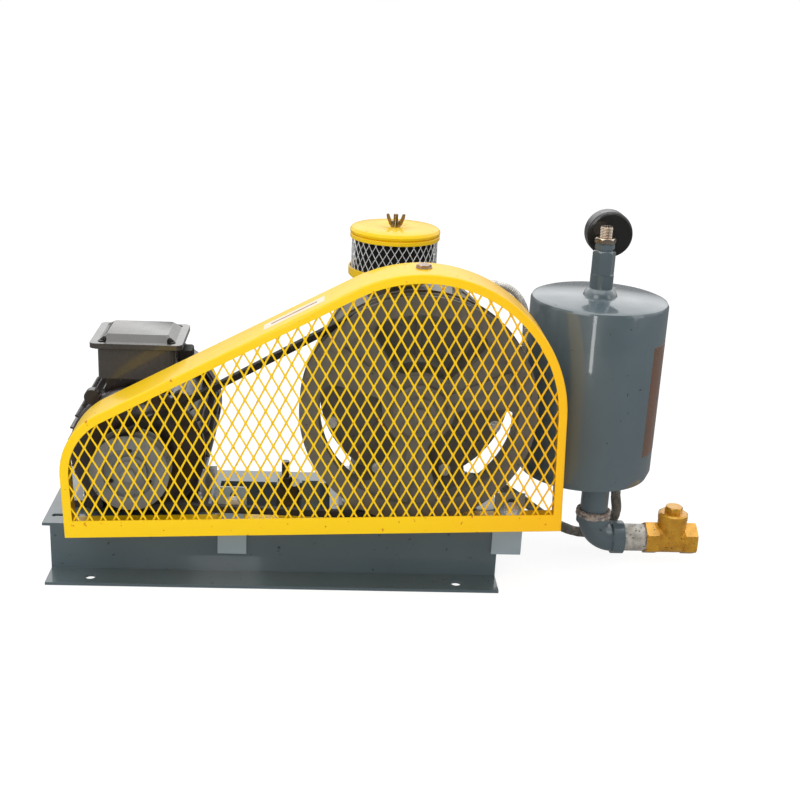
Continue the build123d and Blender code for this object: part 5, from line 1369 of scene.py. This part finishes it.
# ---------------------------------------------------------------- studio
@dataclass
class Studio:
    """Camera, soft lights, pale floor and white surround."""

    lens: float = 55.99
    camera_place: Point = (54.15 * MM, -1600.1 * MM, 770.65 * MM)
    yaw: float = -0.067
    pitch: float = 0.332
    roll: float = 0.050
    floor_reach: float = 30.0
    fill: float = 0.54
    front_wall: float = 0.16
    back_wall: float = 1.5
    low_wall: float = 0.18
    wall_turn: tuple[float, float] = (-0.75, 0.35)
    wall_rise: tuple[float, float] = (0.02, 0.26)
    floor_drop: float = 0.5 * MM
    floor_white: float = 0.88
    floor_glow: float = 1.22
    floor_glow_share: float = 0.72
    mirrored_floor: float = 0.21
    lamps: tuple[tuple[str, Point, float, float, float], ...] = (
        ("key_lamp", (-1.3, -1.9, 2.1), 1.5, 1.5, 20.0),
        ("top_lamp", (0.2, 0.2, 2.6), 2.4, 2.4, 22.0),
        ("strip_lamp", (-0.25, -2.3, 0.75), 0.22, 1.5, 7.0),
        ("side_lamp", (2.2, -1.2, 1.3), 0.8, 1.4, 5.0),
    )

    def build(self) -> None:
        """Set up the lights, floor and surround."""
        bpy.context.scene.view_settings.view_transform = "Standard"
        self.surround()
        self.floor()
        for name, place, width, height, power in self.lamps:
            self.lamp(name, place, width, height, power)

    def camera(self) -> None:
        """Stand the camera where the set is looked at from."""
        data = bpy.data.cameras.new("view_camera")
        data.lens = self.lens
        data.clip_start = 0.05
        data.clip_end = 100.0
        level_share = math.cos(self.pitch)
        forward = Vector((-math.sin(self.yaw) * level_share, math.cos(self.yaw) * level_share,
                          -math.sin(self.pitch)))
        level = Vector((math.cos(self.yaw), math.sin(self.yaw), 0.0))
        upward = level.cross(forward)
        right = math.cos(self.roll) * level + math.sin(self.roll) * upward
        above = -math.sin(self.roll) * level + math.cos(self.roll) * upward
        turn = Matrix((right, above, -forward)).transposed().to_4x4()
        camera = bpy.data.objects.new("view_camera", data)
        camera.matrix_world = Matrix.Translation(self.camera_place) @ turn
        bpy.context.scene.collection.objects.link(camera)
        bpy.context.scene.camera = camera

    def lamp(self, name: str, place: Point, width: float, height: float, power: float) -> None:
        """Hang one soft rectangular lamp that faces the set.

        Args:
            name: Name of the lamp.
            place: Where it hangs.
            width: Its width.
            height: Its height.
            power: Its power in watts.
        """
        data = bpy.data.lights.new(name, "AREA")
        data.shape = "RECTANGLE"
        data.size = width
        data.size_y = height
        data.energy = power
        lamp = bpy.data.objects.new(name, data)
        lamp.location = place
        lamp.rotation_euler = (Vector((0.12, 0.0, 0.2)) - Vector(place)).to_track_quat("-Z", "Y").to_euler()
        bpy.context.scene.collection.objects.link(lamp)

    def surround(self) -> None:
        """Make the world white where it is seen, and an even fill elsewhere."""
        world = bpy.data.worlds.new("studio_world")
        bpy.context.scene.world = world
        world.use_nodes = True
        wiring = Wiring(world.node_tree)
        way = wiring.add("ShaderNodeTexCoord").outputs["Generated"]
        parts = wiring.add("ShaderNodeSeparateXYZ", {0: way})
        front = wiring.ramp(parts.outputs["Y"], *self.wall_turn, self.front_wall, self.back_wall)
        rise = wiring.ramp(parts.outputs["Z"], *self.wall_rise, self.low_wall, 1.0)
        path = wiring.add("ShaderNodeLightPath")
        mirrored = wiring.mix(path.outputs["Is Diffuse Ray"], wiring.math("MULTIPLY", front, rise), self.fill)
        shown = wiring.mix(path.outputs["Is Camera Ray"], mirrored, 1.0)
        wiring.feed(world.node_tree.nodes["Background"], {"Color": (1.0, 1.0, 1.0, 1.0), "Strength": shown})

    def floor(self) -> None:
        """Lay the pale floor, which keeps a soft shadow and looks dim in reflections."""
        reach = self.floor_reach
        mesh = bpy.data.meshes.new("studio_floor")
        corners = [(-reach, -reach), (reach, -reach), (reach, reach), (-reach, reach)]
        mesh.from_pydata([(x, y, -self.floor_drop) for x, y in corners], [], [(0, 1, 2, 3)])
        material = bpy.data.materials.new("pale_floor")
        material.use_nodes = True
        wiring = Wiring(material.node_tree)
        nodes = wiring.tree.nodes
        nodes.remove(nodes["Principled BSDF"])
        path = wiring.add("ShaderNodeLightPath")
        seen = wiring.math("ADD", path.outputs["Is Camera Ray"], path.outputs["Is Transmission Ray"],
                           use_clamp=True)
        matt = wiring.add("ShaderNodeBsdfDiffuse", {"Color": (self.floor_white,) * 3 + (1.0,)})
        glow = wiring.add("ShaderNodeEmission", {"Strength": self.floor_glow})
        dusk = wiring.add("ShaderNodeEmission", {"Strength": self.mirrored_floor})
        lit = wiring.add("ShaderNodeMixShader", {0: wiring.math("MULTIPLY", seen, self.floor_glow_share),
                                                 1: matt.outputs[0], 2: glow.outputs[0]})
        shown = wiring.add("ShaderNodeMixShader", {0: path.outputs["Is Glossy Ray"], 1: lit.outputs[0],
                                                   2: dusk.outputs[0]})
        wiring.feed(nodes["Material Output"], {"Surface": shown.outputs[0]})
        mesh.materials.append(material)
        link_mesh(mesh, "studio_floor")


def main() -> None:
    """Load the frame, dress every sub-assembly and set up the studio."""
    logging.basicConfig(level=logging.INFO, format="%(name)s: %(message)s")
    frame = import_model()
    shop = Workshop(frame)
    studio = Studio()
    studio.camera()
    for group in (OilHoses, BaseFrame, BeltGuard, Motor, BeltDrive, Blower, AirFilter, Tank, OutletLine,
                  ReliefValve, PressureGauge):
        group(shop).build()
    studio.build()


if __name__ == "__main__":
    main()
